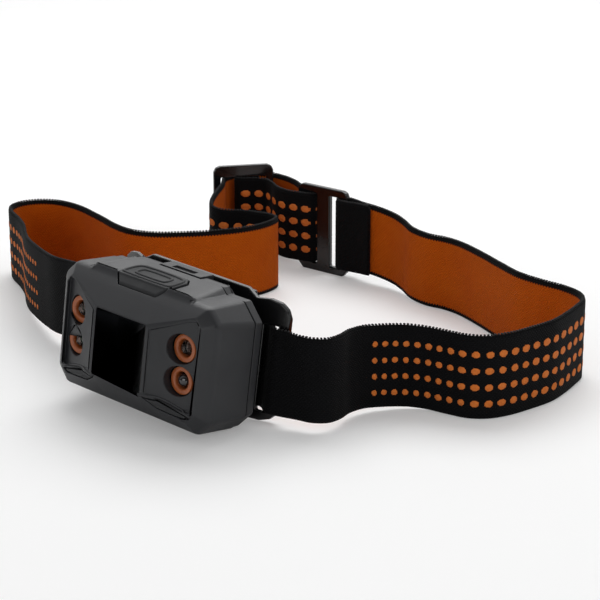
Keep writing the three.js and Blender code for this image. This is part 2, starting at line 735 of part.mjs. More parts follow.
// Five points of a half turn round a bar's edge; way is +1 or -1, the side that the turn bulges to.
function wrap(x, y, low, way, start) {
  return [-2, -1, 0, 1, 2].map((step) => {
    const turn = (step * Math.PI) / 4;
    return [
      x + way * (WRAP_RADIUS * Math.cos(turn) - WRAP_BACK),
      y + start * WRAP_RADIUS * Math.sin(turn),
      low,
    ];
  });
}
const onBuckle = BUCKLE_RAIL + GAP;
const toBackBuckle = [
  [-31.6, 150.3, onBuckle],
  [-36.1, 150.1, onBuckle],
  [-40.1, 149.6, onBuckle],
  ...wrap(BUCKLE.x + BUCKLE_HALF - BAR_WIDTH, BUCKLE.y, onBuckle, -1, 1),
  [-40.1, 153.5, onBuckle],
  [-36.1, 152.5, onBuckle],
  [-31.6, 152.2, 3],
  [-27.2, 152.1, 2.6],
];
const rightSide = [
  [-21.4, 151.5, 1.9],
  [-15.6, 149.4, 1.1],
  [-9.8, 146.2, 0.4],
  [-2, 144.5, 0],
  [5, 144.8, 0],
  [12, 143.6, 0],
  [24, 138.6, 0],
  [36, 132.6, 0],
  [46, 128, 0],
  [56, 126.2, 0],
  [64, 125.6, 0],
  [71, 123.2, 0],
  [75.6, 118.6, 0],
  [77.6, 112, 0],
  [79.2, 104, 0],
  [80, 96, 0],
  [78.8, 87, 0],
  [77, 79, 0],
  [74, 73, 0],
  [69.5, 69.6, 0],
  [63, 68.4, 0],
  [57, 67.2, 0.2],
  [52, 64.4, 0.6],
  [47.4, 59, 1],
  [44.4, 53.2, 1.4],
  [44, 47, 1.7],
  [45.4, 41, 2],
  [45.2, 36, 2.3],
  [42.2, 32.6, 2.6],
  [38.2, 31.4, 2.8],
];
// Over the outer bar of one ear, through its slot and behind the plate, in the lamp's frame
const throughEar = [
  [33.6, 31.1],
  [30.6, 30.2],
  [28.5, 31.1],
  [26.8, 32.5],
  [23.6, 33.2],
];
const leftSide = [
  [-38.4, 31.2, 6.4],
  [-44, 32.4, 5.6],
  [-52, 35, 4.6],
  [-60, 37, 3.6],
  [-69, 38.6, 2.8],
  [-78, 42.4, 2],
  [-87, 46.6, 1.5],
  [-96, 51.4, 1],
  [-104, 57, 0.6],
  [-112, 63.4, 0.3],
  [-121, 69, 0],
  [-128.6, 72.8, 0],
  [-134, 77, 0],
  [-136, 82.6, 0],
  [-134.4, 88.4, 0],
  [-130, 92.2, 0],
  [-123.6, 93.6, 0],
  [-115, 92.8, 0],
  [-106, 90.2, 0],
  [-98, 87.6, 0],
  [-90, 84.8, 0],
  [-81, 83.4, 0],
  [-72.6, 86.2, 0],
  [-65, 93.2, 0],
  [-57.6, 102.6, 0],
  [-53.5, 111.2, 0],
  [-52.2, 119.9, 0],
  [-53.9, 126.9, 0.1],
];
const SLIDER = { x: -88.8, y: 148.5, turn: 53.13 };
const SLIDER_HALF = 11;
const SLIDER_BAR = 2.6;
const onSlider = SLIDER_RAIL + GAP;
const sliderWay = new THREE.Vector2(Math.cos(rad(SLIDER.turn)), Math.sin(rad(SLIDER.turn)));
// Along the slider's frame, and out towards the front of it
const bySlider = (along, out) => [
  SLIDER.x + along * sliderWay.x + out * sliderWay.y,
  SLIDER.y + along * sliderWay.y - out * sliderWay.x,
  onSlider,
];
// From the fold at the left, through the slider's outer opening, behind it and on to the buckle
const toSlider = [
  [-58.1, 128.3, 0.1],
  [-63.5, 127.4, 0.1],
  [-68.3, 125.4, 0.2],
  [-71.9, 122.8, 0.3],
  [-75.1, 121.1, 0.5],
  [-78.5, 121.3, 0.8],
  [-81.9, 124.1, 1.4],
  [-84.7, 128.3, 2.2],
  [-87, 132.9, 3.1],
  [-89.4, 138.1, 4],
  bySlider(-6.9, 0),
  [-93.7, 149.7, onSlider],
  [-92.2, 155.5, 4.4],
  [-87.9, 159.7, 4.2],
  [-81.4, 161.1, 3.8],
  [-73.8, 159.7, 3.4],
  [-67.4, 156.5, onBuckle],
  [-63.8, 155, onBuckle],
];
const backFromBuckle = [
  ...wrap(BUCKLE.x - BUCKLE_HALF + WIDE_BAR, BUCKLE.y, onBuckle, 1, -1),
  [-63.6, 148.6, onBuckle],
  [-67.6, 147.9, 3.2],
  [-72.4, 148.5, 3.5],
  [-76.8, 150.7, 3.9],
  [-80.6, 151.5, 4.3],
];
const aroundSliderBar = [
  bySlider(4.2, 3.1),
  ...wrap(-SLIDER_BAR / 2, 0, 0, -1, -1).map(([along, out]) => bySlider(along, out)),
  bySlider(3.4, -2.1),
  bySlider(6, -2),
];

const standing = ([x, y, low]) => ({
  low: new THREE.Vector3(x, y, low),
  high: new THREE.Vector3(x, y, low + STRAP_WIDTH),
});
const onBracket = ([x, y]) => ({
  low: onTable(x, y, STRAP_DROP - STRAP_WIDTH / 2),
  high: onTable(x, y, STRAP_DROP + STRAP_WIDTH / 2),
});
const route = [
  ...[...toBackBuckle, ...rightSide].map(standing),
  ...throughEar.map(onBracket),
  ...[12, 0, -12].map((x) => onBracket([x, throughEar.at(-1)[1]])),
  ...throughEar.map(([x, y]) => onBracket([-x, y])).reverse(),
  ...[...leftSide, ...toSlider, ...backFromBuckle, ...aroundSliderBar].map(standing),
];

// A flat ribbon between the curves of its lower and upper edges.
function ribbon(stations, thickness, steps) {
  const lowCurve = new THREE.CatmullRomCurve3(stations.map(({ low }) => low));
  const highCurve = new THREE.CatmullRomCurve3(stations.map(({ high }) => high));
  const count = (stations.length - 1) * steps;
  const corners = [];
  for (let i = 0; i <= count; i += 1) {
    const low = lowCurve.getPoint(i / count);
    const high = highCurve.getPoint(i / count);
    const up = high.clone().sub(low);
    const out = lowCurve.getTangent(i / count).cross(up).normalize().multiplyScalar(thickness / 2);
    corners.push(low.clone().add(out), high.clone().add(out), high.clone().sub(out), low.clone().sub(out));
  }
  const index = [];
  for (let ring = 0; ring < count; ring += 1) {
    for (let side = 0; side < 4; side += 1) {
      const a = ring * 4 + side;
      const b = ring * 4 + ((side + 1) % 4);
      index.push(a, a + 4, b, b, a + 4, b + 4);
    }
  }
  const last = count * 4;
  index.push(0, 1, 2, 0, 2, 3, last, last + 2, last + 1, last, last + 3, last + 2);
  return new THREE.BufferGeometry().setFromPoints(corners).setIndex(index);
}

// ---------------------------------------------------------------- buckle and slider
const halfHardware = HARDWARE_THICK / 2;

// An upright frame of two rails and some bars, given as [x0, x1] along it from its middle.
function frame(bars, rail, reach) {
  const top = FRAME_INSIDE + 2 * rail;
  const corner = 2.2;
  const outline = [
    [-reach + corner, 0],
    [reach - corner, 0],
    [reach, corner],
    [reach, top - corner],
    [reach - 0.7, top - 0.7],
    [reach - corner, top],
    [-reach + corner, top],
    [-reach + 0.7, top - 0.7],
    [-reach, top - corner],
    [-reach, corner],
  ];
  const openings = bars
    .slice(1)
    .map(([next], i) => box(bars[i][1], next, -5, 5, rail, rail + FRAME_INSIDE));
  return cut(plateXZ(outline, -halfHardware, halfHardware), ...openings);
}
const endBars = (half, first, middle, last) => [[-half, first - half], middle, [half - last, half]];
const BUCKLE_MIDDLE = [-2.6, 3.25];
const buckle = frame(
  endBars(BUCKLE_HALF, WIDE_BAR, BUCKLE_MIDDLE, BAR_WIDTH),
  BUCKLE_RAIL,
  BUCKLE_HALF,
).translate([BUCKLE.x, BUCKLE.y, 0]);
const slider = frame(
  endBars(SLIDER_HALF, SLIDER_BAR, [-SLIDER_BAR / 2, SLIDER_BAR / 2], SLIDER_BAR),
  SLIDER_RAIL,
  SLIDER_HALF,
)
  .rotate([0, 0, SLIDER.turn])
  .translate([SLIDER.x, SLIDER.y, 0]);

// ---------------------------------------------------------------- materials
const finish = (color, roughness, metalness = 0) =>
  new THREE.MeshStandardMaterial({ color, roughness, metalness });
const HOUSING = finish(0x36383b, 0.55);
const RUBBER = finish(0x2b2c2e, 0.8);
const GLOSS = finish(0x0d0e10, 0.2);
const COPPER = finish(0xcf975f, 0.35, 0.6);
const CUP = finish(0x96502d, 0.45, 0.3);
const MIRROR = finish(0xe0e2e6, 0.08, 1);
const CLEAR = finish(0xe8eef2, 0.05);
const DARK_LED = finish(0x101014, 0.1);
const PHOSPHOR = finish(0xd8e04a, 0.4);
const BOARD = finish(0x1f5a35, 0.5);
const STEEL = finish(0xb6babd, 0.3, 1);
const BRASS = finish(0xc7a24d, 0.3, 1);
const SILICONE = finish(0x6f7275, 0.7);
const CELL_WRAP = finish(0x8a8f96, 0.35);
const WEBBING = finish(0x141416, 0.9);

// ---------------------------------------------------------------- assembly
const group = new THREE.Group();
group.name = "headlamp";

function add(parent, name, shape, material) {
  const geometry = shape.isBufferGeometry ? shape : geometryOf(shape);
  const mesh = new THREE.Mesh(geometry, material);
  mesh.name = name;
  parent.add(mesh);
}

add(lamp, "front_shell", frontShell, HOUSING);
add(lamp, "power_button", button, RUBBER);
add(lamp, "switch_plunger", plunger, RUBBER);
add(lamp, "tact_switch", switchBody, GLOSS);
add(lamp, "accent_bezel", bezel, COPPER);
add(lamp, "reflector", reflector, MIRROR);
add(lamp, "main_lens", mainLens, CLEAR);
add(lamp, "main_led", mainLed, PHOSPHOR);
add(lamp, "led_board", ledBoard, BOARD);
[1, -1].forEach((side) => {
  add(lamp, side > 0 ? "grip_inlay_right" : "grip_inlay_left", inlay(side), RUBBER);
});
cups.forEach(([x, z], i) => {
  add(lamp, `led_cup_${i + 1}`, cup(x, z), CUP);
  add(lamp, `small_led_${i + 1}`, smallLed(x, z), i === 2 ? DARK_LED : CLEAR);
});
SCREW_AT.forEach((place, i) => add(lamp, `board_screw_${i + 1}`, boardScrew(place), STEEL));
const FINGER_X = PLATE_X + CONTACT_THICK / 2 - 0.7;
add(lamp, "contact_finger_plus", contactFinger(FINGER_X, cellZ[0]), BRASS);
add(lamp, "contact_finger_minus", contactFinger(-FINGER_X, cellZ[2]), BRASS);

add(lamp, "rear_shell", rearShell, HOUSING);
add(lamp, "gasket", gasket, SILICONE);
add(lamp, "cell_tray", tray, RUBBER);
cellZ.forEach((z, i) => {
  add(lamp, `battery_${i + 1}`, cell(i), CELL_WRAP);
  add(lamp, `contact_spring_${i + 1}`, contactSpring(i), STEEL);
});
const PLATE_FRONT = 13;
const TAB_FRONT = BOARD_BACK + 2 * GAP + 1.0;
add(lamp, "contact_plate_plus", contactPlate(1, [0], TAB_FRONT), BRASS);
add(lamp, "contact_bridge_left", contactPlate(-1, [0, 1], PLATE_FRONT), BRASS);
add(lamp, "contact_bridge_right", contactPlate(1, [1, 2], PLATE_FRONT), BRASS);
add(lamp, "contact_plate_minus", contactPlate(-1, [2], TAB_FRONT), BRASS);
add(lamp, "opening_hinge_pin", hingePin(OPEN_AXIS, OPEN_PIN, 11.6), STEEL);
add(lamp, "battery_latch", latch, HOUSING);
add(lamp, "latch_pin", hingePin(LATCH_AXIS, LATCH_PIN, 9.7), STEEL);

add(lamp, "bracket", bracket, GLOSS);
add(lamp, "tilt_hinge_pin", hingePin(TILT_AXIS, TILT_PIN, 14), STEEL);
add(group, "strap", ribbon(route, STRAP_THICK, STRAP_STEPS), WEBBING);
add(group, "buckle", buckle, GLOSS);
add(group, "slider", slider, GLOSS);
group.add(lamp);

// The whole is moved so that the origin lies under the middle of its box, on the table.
group.updateMatrixWorld(true);
const around = new THREE.Box3().setFromObject(group, true);
const middle = around.getCenter(new THREE.Vector3());
group.children.forEach((child) => {
  child.position.x -= middle.x;
  child.position.y -= middle.y;
  child.position.z -= around.min.z;
});

export default group;
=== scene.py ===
import math
from itertools import accumulate

import bmesh
import bpy
from mathutils import Matrix, Vector


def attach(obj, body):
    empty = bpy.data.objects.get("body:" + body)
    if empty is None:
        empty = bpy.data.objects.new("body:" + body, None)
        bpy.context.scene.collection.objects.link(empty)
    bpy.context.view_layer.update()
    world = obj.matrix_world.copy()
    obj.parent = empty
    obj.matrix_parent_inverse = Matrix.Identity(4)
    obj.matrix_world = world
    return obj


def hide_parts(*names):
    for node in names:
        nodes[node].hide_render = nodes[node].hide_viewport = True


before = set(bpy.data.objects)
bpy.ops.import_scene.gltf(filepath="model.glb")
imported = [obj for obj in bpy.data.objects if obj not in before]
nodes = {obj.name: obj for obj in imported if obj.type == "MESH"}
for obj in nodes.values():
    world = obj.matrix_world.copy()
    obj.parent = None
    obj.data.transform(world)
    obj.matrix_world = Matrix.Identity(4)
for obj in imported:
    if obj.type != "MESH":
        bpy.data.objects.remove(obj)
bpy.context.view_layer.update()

MM = 0.001

# ---------------------------------------------------------------- places in the frame
# The lamp's own frame: x to a viewer's right, y to the back, z up, zero at the bezel's centre.
LAMP = (
    Matrix.Translation((0.0279998, -0.0799633, 0.0235226))
    @ Matrix.Rotation(math.radians(-5.7), 4, "X")
    @ Matrix.Rotation(math.radians(3.37), 4, "Y")
)
TABLE = Vector((0.0279998, -0.0799633, 0.0000226))  # the strap route's own zero


def in_lamp(x, y, z):
    return LAMP @ Vector((x * MM, y * MM, z * MM))


# ---------------------------------------------------------------- node helpers
def add(tree, kind, links=None, **values):
    """A node with its properties set; links maps an input name or number to a socket or a value."""
    node = tree.nodes.new(kind)
    for key, value in values.items():
        setattr(node, key, value)
    for key, value in (links or {}).items():
        socket = node.inputs[key]
        if isinstance(value, bpy.types.NodeSocket):
            tree.links.new(value, socket)
        else:
            socket.default_value = value
    return node


def sum_up(tree, operation, *terms, kind="ShaderNodeMath", clamp=False):
    """A Math or Vector Math node on these sockets or numbers, and its result."""
    node = tree.nodes.new(kind)
    node.operation = operation
    if clamp:
        node.use_clamp = True
    for socket, term in zip(node.inputs, terms):
        if isinstance(term, bpy.types.NodeSocket):
            tree.links.new(term, socket)
        else:
            socket.default_value = term
    return node.outputs[0]


def new_group(name, inputs, outputs, kind="ShaderNodeTree"):
    """A node group with named sockets; inputs and outputs map a name to (socket type, default)."""
    tree = bpy.data.node_groups.new(name, kind)
    for way, sockets in (("INPUT", inputs), ("OUTPUT", outputs)):
        for label, (kind_of, value) in sockets.items():
            socket = tree.interface.new_socket(
                label, in_out=way, socket_type="NodeSocket" + kind_of)
            if value is not None:
                socket.default_value = value
    return tree, tree.nodes.new("NodeGroupInput").outputs, tree.nodes.new("NodeGroupOutput").inputs


def wave(tree, value, pitch):
    """0 at each multiple of the pitch and 1 halfway between, as a rounded wave."""
    turned = sum_up(tree, "MULTIPLY", sum_up(tree, "DIVIDE", value, pitch), 2 * math.pi)
    return sum_up(tree, "MULTIPLY_ADD", sum_up(tree, "COSINE", turned), -0.5, 0.5)


# ---------------------------------------------------------------- shared effects
def make_grain():
    tree, given, out = new_group(
        "moulded_grain",
        {"Coordinate": ("Vector", None), "Size": ("Float", 0.4), "Patch": ("Float", 8.0)},
        {"Height": ("Float", None), "Tone": ("Float", None)},
    )
    per_metre = sum_up(tree, "DIVIDE", 1 / MM, given["Size"])
    fine = add(tree, "ShaderNodeTexNoise",
               {"Vector": given["Coordinate"], "Scale": per_metre, "Detail": 3.0, "Roughness": 0.6})
    pits = add(tree, "ShaderNodeTexVoronoi",
               {"Vector": given["Coordinate"], "Scale": per_metre}, feature="SMOOTH_F1")
    patches = add(tree, "ShaderNodeTexNoise",
                  {"Vector": given["Coordinate"], "Detail": 4.0,
                   "Scale": sum_up(tree, "DIVIDE", 1 / MM, given["Patch"])})
    height = sum_up(tree, "ADD", fine.outputs[0], sum_up(tree, "MULTIPLY", pits.outputs[0], 0.5))
    tree.links.new(height, out["Height"])
    tree.links.new(patches.outputs[0], out["Tone"])
    return tree


def make_wear():
    tree, given, out = new_group(
        "edge_wear",
        {"Coordinate": ("Vector", None), "Radius": ("Float", 0.4), "Amount": ("Float", 1.0)},
        {"Mask": ("Float", None)},
    )
    rounded = add(tree, "ShaderNodeBevel",
                  {"Radius": sum_up(tree, "MULTIPLY", given["Radius"], MM)}, samples=4)
    plain = add(tree, "ShaderNodeNewGeometry")
    same = add(tree, "ShaderNodeVectorMath", operation="DOT_PRODUCT")
    tree.links.new(rounded.outputs[0], same.inputs[0])
    tree.links.new(plain.outputs["Normal"], same.inputs[1])
    edge = sum_up(tree, "MULTIPLY", sum_up(tree, "SUBTRACT", 1.0, same.outputs["Value"]), 5.0,
                  clamp=True)
    broken = add(tree, "ShaderNodeTexNoise",
                 {"Vector": given["Coordinate"], "Scale": 260.0, "Detail": 5.0})
    spots = add(tree, "ShaderNodeMapRange",
                {"Value": broken.outputs[0], "From Min": 0.4, "From Max": 0.62})
    worn = sum_up(tree, "MULTIPLY", edge, sum_up(tree, "MULTIPLY_ADD", spots.outputs[0], 0.7, 0.3))
    tree.links.new(sum_up(tree, "MULTIPLY", worn, given["Amount"], clamp=True), out["Mask"])
    return tree


def make_handling():
    """Finger marks and rubbed patches, as a roughness between two values."""
    tree, given, out = new_group(
        "handling",
        {"Coordinate": ("Vector", None), "Smooth": ("Float", 0.35), "Rough": ("Float", 0.5),
         "Size": ("Float", 12.0)},
        {"Roughness": ("Float", None)},
    )
    scale = sum_up(tree, "DIVIDE", 1 / MM, given["Size"])
    marks = add(tree, "ShaderNodeTexNoise",
                {"Vector": given["Coordinate"], "Scale": scale, "Detail": 6.0, "Distortion": 0.6})
    shaded = add(tree, "ShaderNodeMapRange",
                 {"Value": marks.outputs[0], "From Min": 0.35, "From Max": 0.65,
                  "To Min": given["Smooth"], "To Max": given["Rough"]})
    tree.links.new(shaded.outputs[0], out["Roughness"])
    return tree


def make_weave():
    """Ribs across an elastic webbing and the columns of its yarns, from its length and height."""
    tree, given, out = new_group(
        "webbing_weave",
        {"Along": ("Float", None), "Up": ("Float", None), "Rib": ("Float", 1.0),
         "Yarn": ("Float", 0.5)},
        {"Height": ("Float", None), "Tone": ("Float", None)},
    )
    rib_pitch = sum_up(tree, "MULTIPLY", given["Rib"], MM)
    yarn_pitch = sum_up(tree, "MULTIPLY", given["Yarn"], MM)
    row = sum_up(tree, "FLOOR", sum_up(tree, "DIVIDE", given["Up"], yarn_pitch))
    # Every second column of yarn is half a rib further on, so the loops interlock
    shift = sum_up(tree, "MULTIPLY", sum_up(tree, "MODULO", row, 2.0),
                   sum_up(tree, "MULTIPLY", rib_pitch, 0.5))
    rib = wave(tree, sum_up(tree, "ADD", given["Along"], shift), rib_pitch)
    yarn = wave(tree, given["Up"], yarn_pitch)
    place = add(tree, "ShaderNodeCombineXYZ", {0: given["Along"], 1: given["Up"]})
    fuzz = add(tree, "ShaderNodeTexNoise",
               {"Vector": place.outputs[0], "Scale": 2600.0, "Detail": 4.0, "Roughness": 0.7})
    loops = sum_up(tree, "MULTIPLY", rib, yarn)
    height = sum_up(tree, "ADD", loops, sum_up(tree, "MULTIPLY", fuzz.outputs[0], 0.5))
    blotch = add(tree, "ShaderNodeTexNoise",
                 {"Vector": place.outputs[0], "Scale": 90.0, "Detail": 5.0})
    # The loops term makes the cloth lighter on the loop tops and darker in the hollows between
    # them, which is painted shade; the blotch term is random tone of the yarn.
    tone = sum_up(tree, "ADD", sum_up(tree, "MULTIPLY", loops, 0.45),
                  sum_up(tree, "MULTIPLY", blotch.outputs[0], 0.55))
    tree.links.new(height, out["Height"])
    tree.links.new(tone, out["Tone"])
    return tree


GRAIN, WEAR, HANDLING, WEAVE = make_grain(), make_wear(), make_handling(), make_weave()


def linear(r, g, b):
    """A colour written as 0 to 255 on a screen."""
    return tuple(((v / 255 + 0.055) / 1.055) ** 2.4 if v > 10 else v / 255 / 12.92
                 for v in (r, g, b)) + (1.0,)


def blank(name):
    made = bpy.data.materials.new(name)
    made.use_nodes = True
    tree = made.node_tree
    return made, tree, tree.nodes["Principled BSDF"]


def use(tree, group, **links):
    node = tree.nodes.new("ShaderNodeGroup")
    node.node_tree = group
    for key, value in links.items():
        if isinstance(value, bpy.types.NodeSocket):
            tree.links.new(value, node.inputs[key])
        else:
            node.inputs[key].default_value = value
    return node.outputs


def mix_colour(tree, share, first, second):
    node = add(tree, "ShaderNodeMix", data_type="RGBA")
    for socket, value in ((node.inputs[0], share), (node.inputs[6], first),
                          (node.inputs[7], second)):
        if isinstance(value, bpy.types.NodeSocket):
            tree.links.new(value, socket)
        else:
            socket.default_value = value
    return node.outputs[2]


def bump(tree, height, depth, strength=1.0):
    return add(tree, "ShaderNodeBump",
               {"Height": height, "Distance": depth * MM, "Strength": strength}).outputs[0]


def finish(name, colour, light, rough, grain=0.4, depth=0.02, wear=0.6, worn=None, metal=0.0,
           patch=8.0, specular=0.5, coat=0.0, sheen=0.0):
    """A moulded, cast or rolled finish: grain, tone patches, handling marks and rubbed edges."""
    made, tree, shader = blank(name)
    place = add(tree, "ShaderNodeTexCoord").outputs["Object"]
    grained = use(tree, GRAIN, Coordinate=place, Size=grain, Patch=patch)
    tone = mix_colour(tree, grained["Tone"], colour, light)
    mask = use(tree, WEAR, Coordinate=place, Amount=wear)["Mask"]
    tree.links.new(mix_colour(tree, mask, tone, worn or light), shader.inputs["Base Color"])
    marks = use(tree, HANDLING, Coordinate=place, Smooth=rough[0], Rough=rough[1])
    tree.links.new(marks["Roughness"], shader.inputs["Roughness"])
    tree.links.new(bump(tree, grained["Height"], depth), shader.inputs["Normal"])
    shader.inputs["Metallic"].default_value = metal
    shader.inputs["Specular IOR Level"].default_value = specular
    shader.inputs["Coat Weight"].default_value = coat
    shader.inputs["Coat Roughness"].default_value = 0.12
    shader.inputs["Sheen Weight"].default_value = sheen
    return made


HOUSING = finish("housing_satin", linear(29, 30, 33), linear(39, 40, 43), (0.4, 0.5), grain=0.3,
                 depth=0.02, wear=0.3, worn=linear(72, 73, 76))
GLOSSY = finish("gloss_black", linear(9, 9, 10), linear(15, 15, 16), (0.16, 0.28), grain=1.4,
                depth=0.012, wear=0.4, worn=linear(62, 62, 64), coat=0.3)
RUBBER = finish("soft_rubber", linear(29, 30, 32), linear(38, 39, 41), (0.6, 0.75), grain=0.25,
                depth=0.03, wear=0.25, worn=linear(66, 66, 68))
GRIP = finish("grip_texture", linear(24, 25, 27), linear(48, 49, 51), (0.55, 0.7), grain=0.7,
              depth=0.14, wear=0.3, worn=linear(66, 66, 68), patch=0.5)
COPPER = finish("copper_accent", linear(206, 146, 92), linear(222, 166, 114), (0.4, 0.52),
                grain=0.25,
                depth=0.012, wear=0.5, worn=linear(236, 196, 152))
CUP = finish("orange_cup", linear(134, 68, 32), linear(168, 92, 50), (0.28, 0.42), grain=0.5,
             depth=0.012, wear=0.5, worn=linear(198, 130, 84), coat=0.15, patch=3.0)
CHROME = finish("mirror_bowl", linear(225, 226, 228), linear(238, 238, 240), (0.04, 0.09),
                grain=1.1,
                depth=0.008, wear=0.0, metal=1.0)
STEEL = finish("pin_steel", linear(150, 150, 152), linear(178, 178, 180), (0.22, 0.4), grain=0.3,
               depth=0.006, wear=0.4, worn=linear(215, 215, 216), metal=1.0)
BRASS = finish("spring_brass", linear(176, 156, 104), linear(206, 186, 132), (0.24, 0.42),
               grain=0.4,
               depth=0.006, wear=0.4, worn=linear(226, 210, 164), metal=1.0)
BOARD = finish("board_green", linear(22, 74, 48), linear(34, 94, 60), (0.35, 0.5), grain=0.8,
               depth=0.01, wear=0.5, worn=linear(150, 140, 96), coat=0.3)
NYLON = finish("dark_nylon", linear(24, 25, 27), linear(34, 35, 37), (0.5, 0.65), grain=0.3,
               depth=0.02, wear=0.4, worn=linear(70, 71, 74))
SEAL = finish("seal_silicone", linear(14, 14, 15), linear(24, 24, 25), (0.55, 0.7), grain=0.5,
              depth=0.015, wear=0.0)
WRAP = finish("cell_wrap", linear(40, 60, 92), linear(58, 80, 116), (0.22, 0.36), grain=1.2,
              depth=0.008, wear=0.8, worn=linear(190, 190, 192), coat=0.5)
CERAMIC = finish("led_ceramic", linear(226, 224, 214), linear(240, 238, 230), (0.4, 0.55),
                 grain=0.3,
                 depth=0.006, wear=0.0)
DARK_DOME = finish("led_dark", linear(12, 9, 11), linear(22, 15, 17), (0.05, 0.1), grain=0.8,
                   depth=0.003, wear=0.0, coat=1.0)
# The lead frame is a real part of each clear LED; its dark brown colour is painted shade for the
# dim inside of the cup.
LEAD_FRAME = finish("lead_frame", linear(70, 56, 52), linear(120, 104, 98), (0.25, 0.4), grain=0.2,
                    depth=0.01, wear=0.5, worn=linear(200, 190, 184), metal=0.8, patch=0.8)


def clear(name, tint, rough=0.02, ior=1.49):
    made, tree, shader = blank(name)
    place = add(tree, "ShaderNodeTexCoord").outputs["Object"]
    marks = use(tree, HANDLING, Coordinate=place, Smooth=rough, Rough=rough + 0.05, Size=5.0)
    tree.links.new(marks["Roughness"], shader.inputs["Roughness"])
    grained = use(tree, GRAIN, Coordinate=place, Size=2.0, Patch=6.0)
    tree.links.new(mix_colour(tree, grained["Tone"], tint, (1, 1, 1, 1)),
                   shader.inputs["Base Color"])
    tree.links.new(bump(tree, grained["Height"], 0.002), shader.inputs["Normal"])
    shader.inputs["Transmission Weight"].default_value = 1.0
    shader.inputs["IOR"].default_value = ior
    return made


WINDOW = clear("clear_window", (0.97, 0.98, 0.98, 1))
EPOXY = clear("led_clear", (0.9, 0.84, 0.8, 1), rough=0.04, ior=1.3)


def make_phosphor_with_painted_glow():
    made, tree, shader = blank("phosphor")
    place = add(tree, "ShaderNodeTexCoord").outputs["Object"]
    grained = use(tree, GRAIN, Coordinate=place, Size=0.12, Patch=0.8)
    colour = mix_colour(tree, grained["Tone"], linear(214, 206, 74), linear(240, 236, 130))
    tree.links.new(colour, shader.inputs["Base Color"])
    # A weak emission in the phosphor's own colour keeps it bright behind the glass: a painted glow,
    # not light of its own.
    tree.links.new(colour, shader.inputs["Emission Color"])
    tree.links.new(bump(tree, grained["Height"], 0.01), shader.inputs["Normal"])
    shader.inputs["Emission Strength"].default_value = 0.35
    shader.inputs["Roughness"].default_value = 0.6
    return made


PHOSPHOR_PAINTED_GLOW = make_phosphor_with_painted_glow()


# ---------------------------------------------------------------- webbing
WEB_WIDTH = 25.0
SELVEDGE = 1.25


def webbing(name, colour, light, edged=False, sheen=0.3):
    """Knitted elastic; edged leaves a black selvedge along both borders, with a serrated line."""
    made, tree, shader = blank(name)
    flat = add(tree, "ShaderNodeSeparateXYZ",
               {0: add(tree, "ShaderNodeUVMap", uv_map="length_height").outputs[0]}).outputs
    along, up = flat[0], flat[1]
    woven = use(tree, WEAVE, Along=along, Up=up, Rib=1.05, Yarn=0.56)
    # The weave's tone is partly painted shade, darker in the hollows between the loops.
    cloth = mix_colour(tree, woven["Tone"], colour, light)
    if edged:
        middle = WEB_WIDTH / 2 * MM
        from_middle = sum_up(tree, "ABSOLUTE", sum_up(tree, "SUBTRACT", up, middle))
        tooth = sum_up(tree, "MULTIPLY", wave(tree, along, 1.05 * MM), 0.45 * MM)
        inside = sum_up(tree, "ADD", from_middle, tooth)
        border = add(tree, "ShaderNodeMapRange",
                     {"Value": inside, "From Min": middle - SELVEDGE * MM,
                      "From Max": middle - (SELVEDGE - 0.12) * MM}).outputs[0]
        black = mix_colour(tree, woven["Tone"], linear(3, 3, 4), linear(16, 16, 18))
        cloth = mix_colour(tree, border, cloth, black)
    tree.links.new(cloth, shader.inputs["Base Color"])
    tree.links.new(bump(tree, woven["Height"], 0.16), shader.inputs["Normal"])
    shader.inputs["Roughness"].default_value = 0.85
    shader.inputs["Sheen Weight"].default_value = sheen
    shader.inputs["Sheen Roughness"].default_value = 0.4
    shader.inputs["Specular IOR Level"].default_value = 0.12
    return made


WEB_BLACK = webbing("webbing_black", linear(3, 3, 4), linear(16, 16, 18), sheen=0.03)
WEB_ORANGE = webbing("webbing_orange", linear(165, 66, 0), linear(200, 98, 4), edged=True,
                     sheen=0.02)
WEB_DOT = finish("woven_dot", linear(186, 88, 18), linear(220, 122, 40), (0.7, 0.85), grain=0.45,
                 depth=0.12, wear=0.0, patch=0.8)
WEB_THREAD = finish("black_thread", linear(4, 4, 5), linear(20, 20, 22), (0.8, 0.9), grain=0.2,
                    depth=0.05, wear=0.0)

# ---------------------------------------------------------------- the strap's route
# Each point is [x, y, height of the lower edge above the table], as in the part; the strap stands
# on edge. Millimetres from the bezel's centre.
BUCKLE_X, BUCKLE_Y, BUCKLE_HALF, BUCKLE_BAR, ON_BUCKLE = -53.35, 151.8, 11.25, 3.0, 3.1
SLIDER_X, SLIDER_Y, SLIDER_TURN, SLIDER_BAR, ON_SLIDER = -88.8, 148.5, 53.13, 2.6, 4.5
WIDE_BAR = 6.2  # the buckle's bar under the strap that comes from the slider
TURN_RADIUS, TURN_SETBACK = 2.4, 1.1  # of a half turn round a bar, and how far back it starts
STRAP_THICK, STRAP_DROP = 1.4, -2.9


def wrap(x, y, low, way, start):
    """Half a turn round a bar's edge, bulging towards way."""
    return [(x + way * (TURN_RADIUS * math.cos(step * math.pi / 4) - TURN_SETBACK),
             y + start * TURN_RADIUS * math.sin(step * math.pi / 4), low) for step in range(-2, 3)]


def by_slider(along, out):
    c, s = math.cos(math.radians(SLIDER_TURN)), math.sin(math.radians(SLIDER_TURN))
    return (SLIDER_X + along * c + out * s, SLIDER_Y + along * s - out * c, ON_SLIDER)


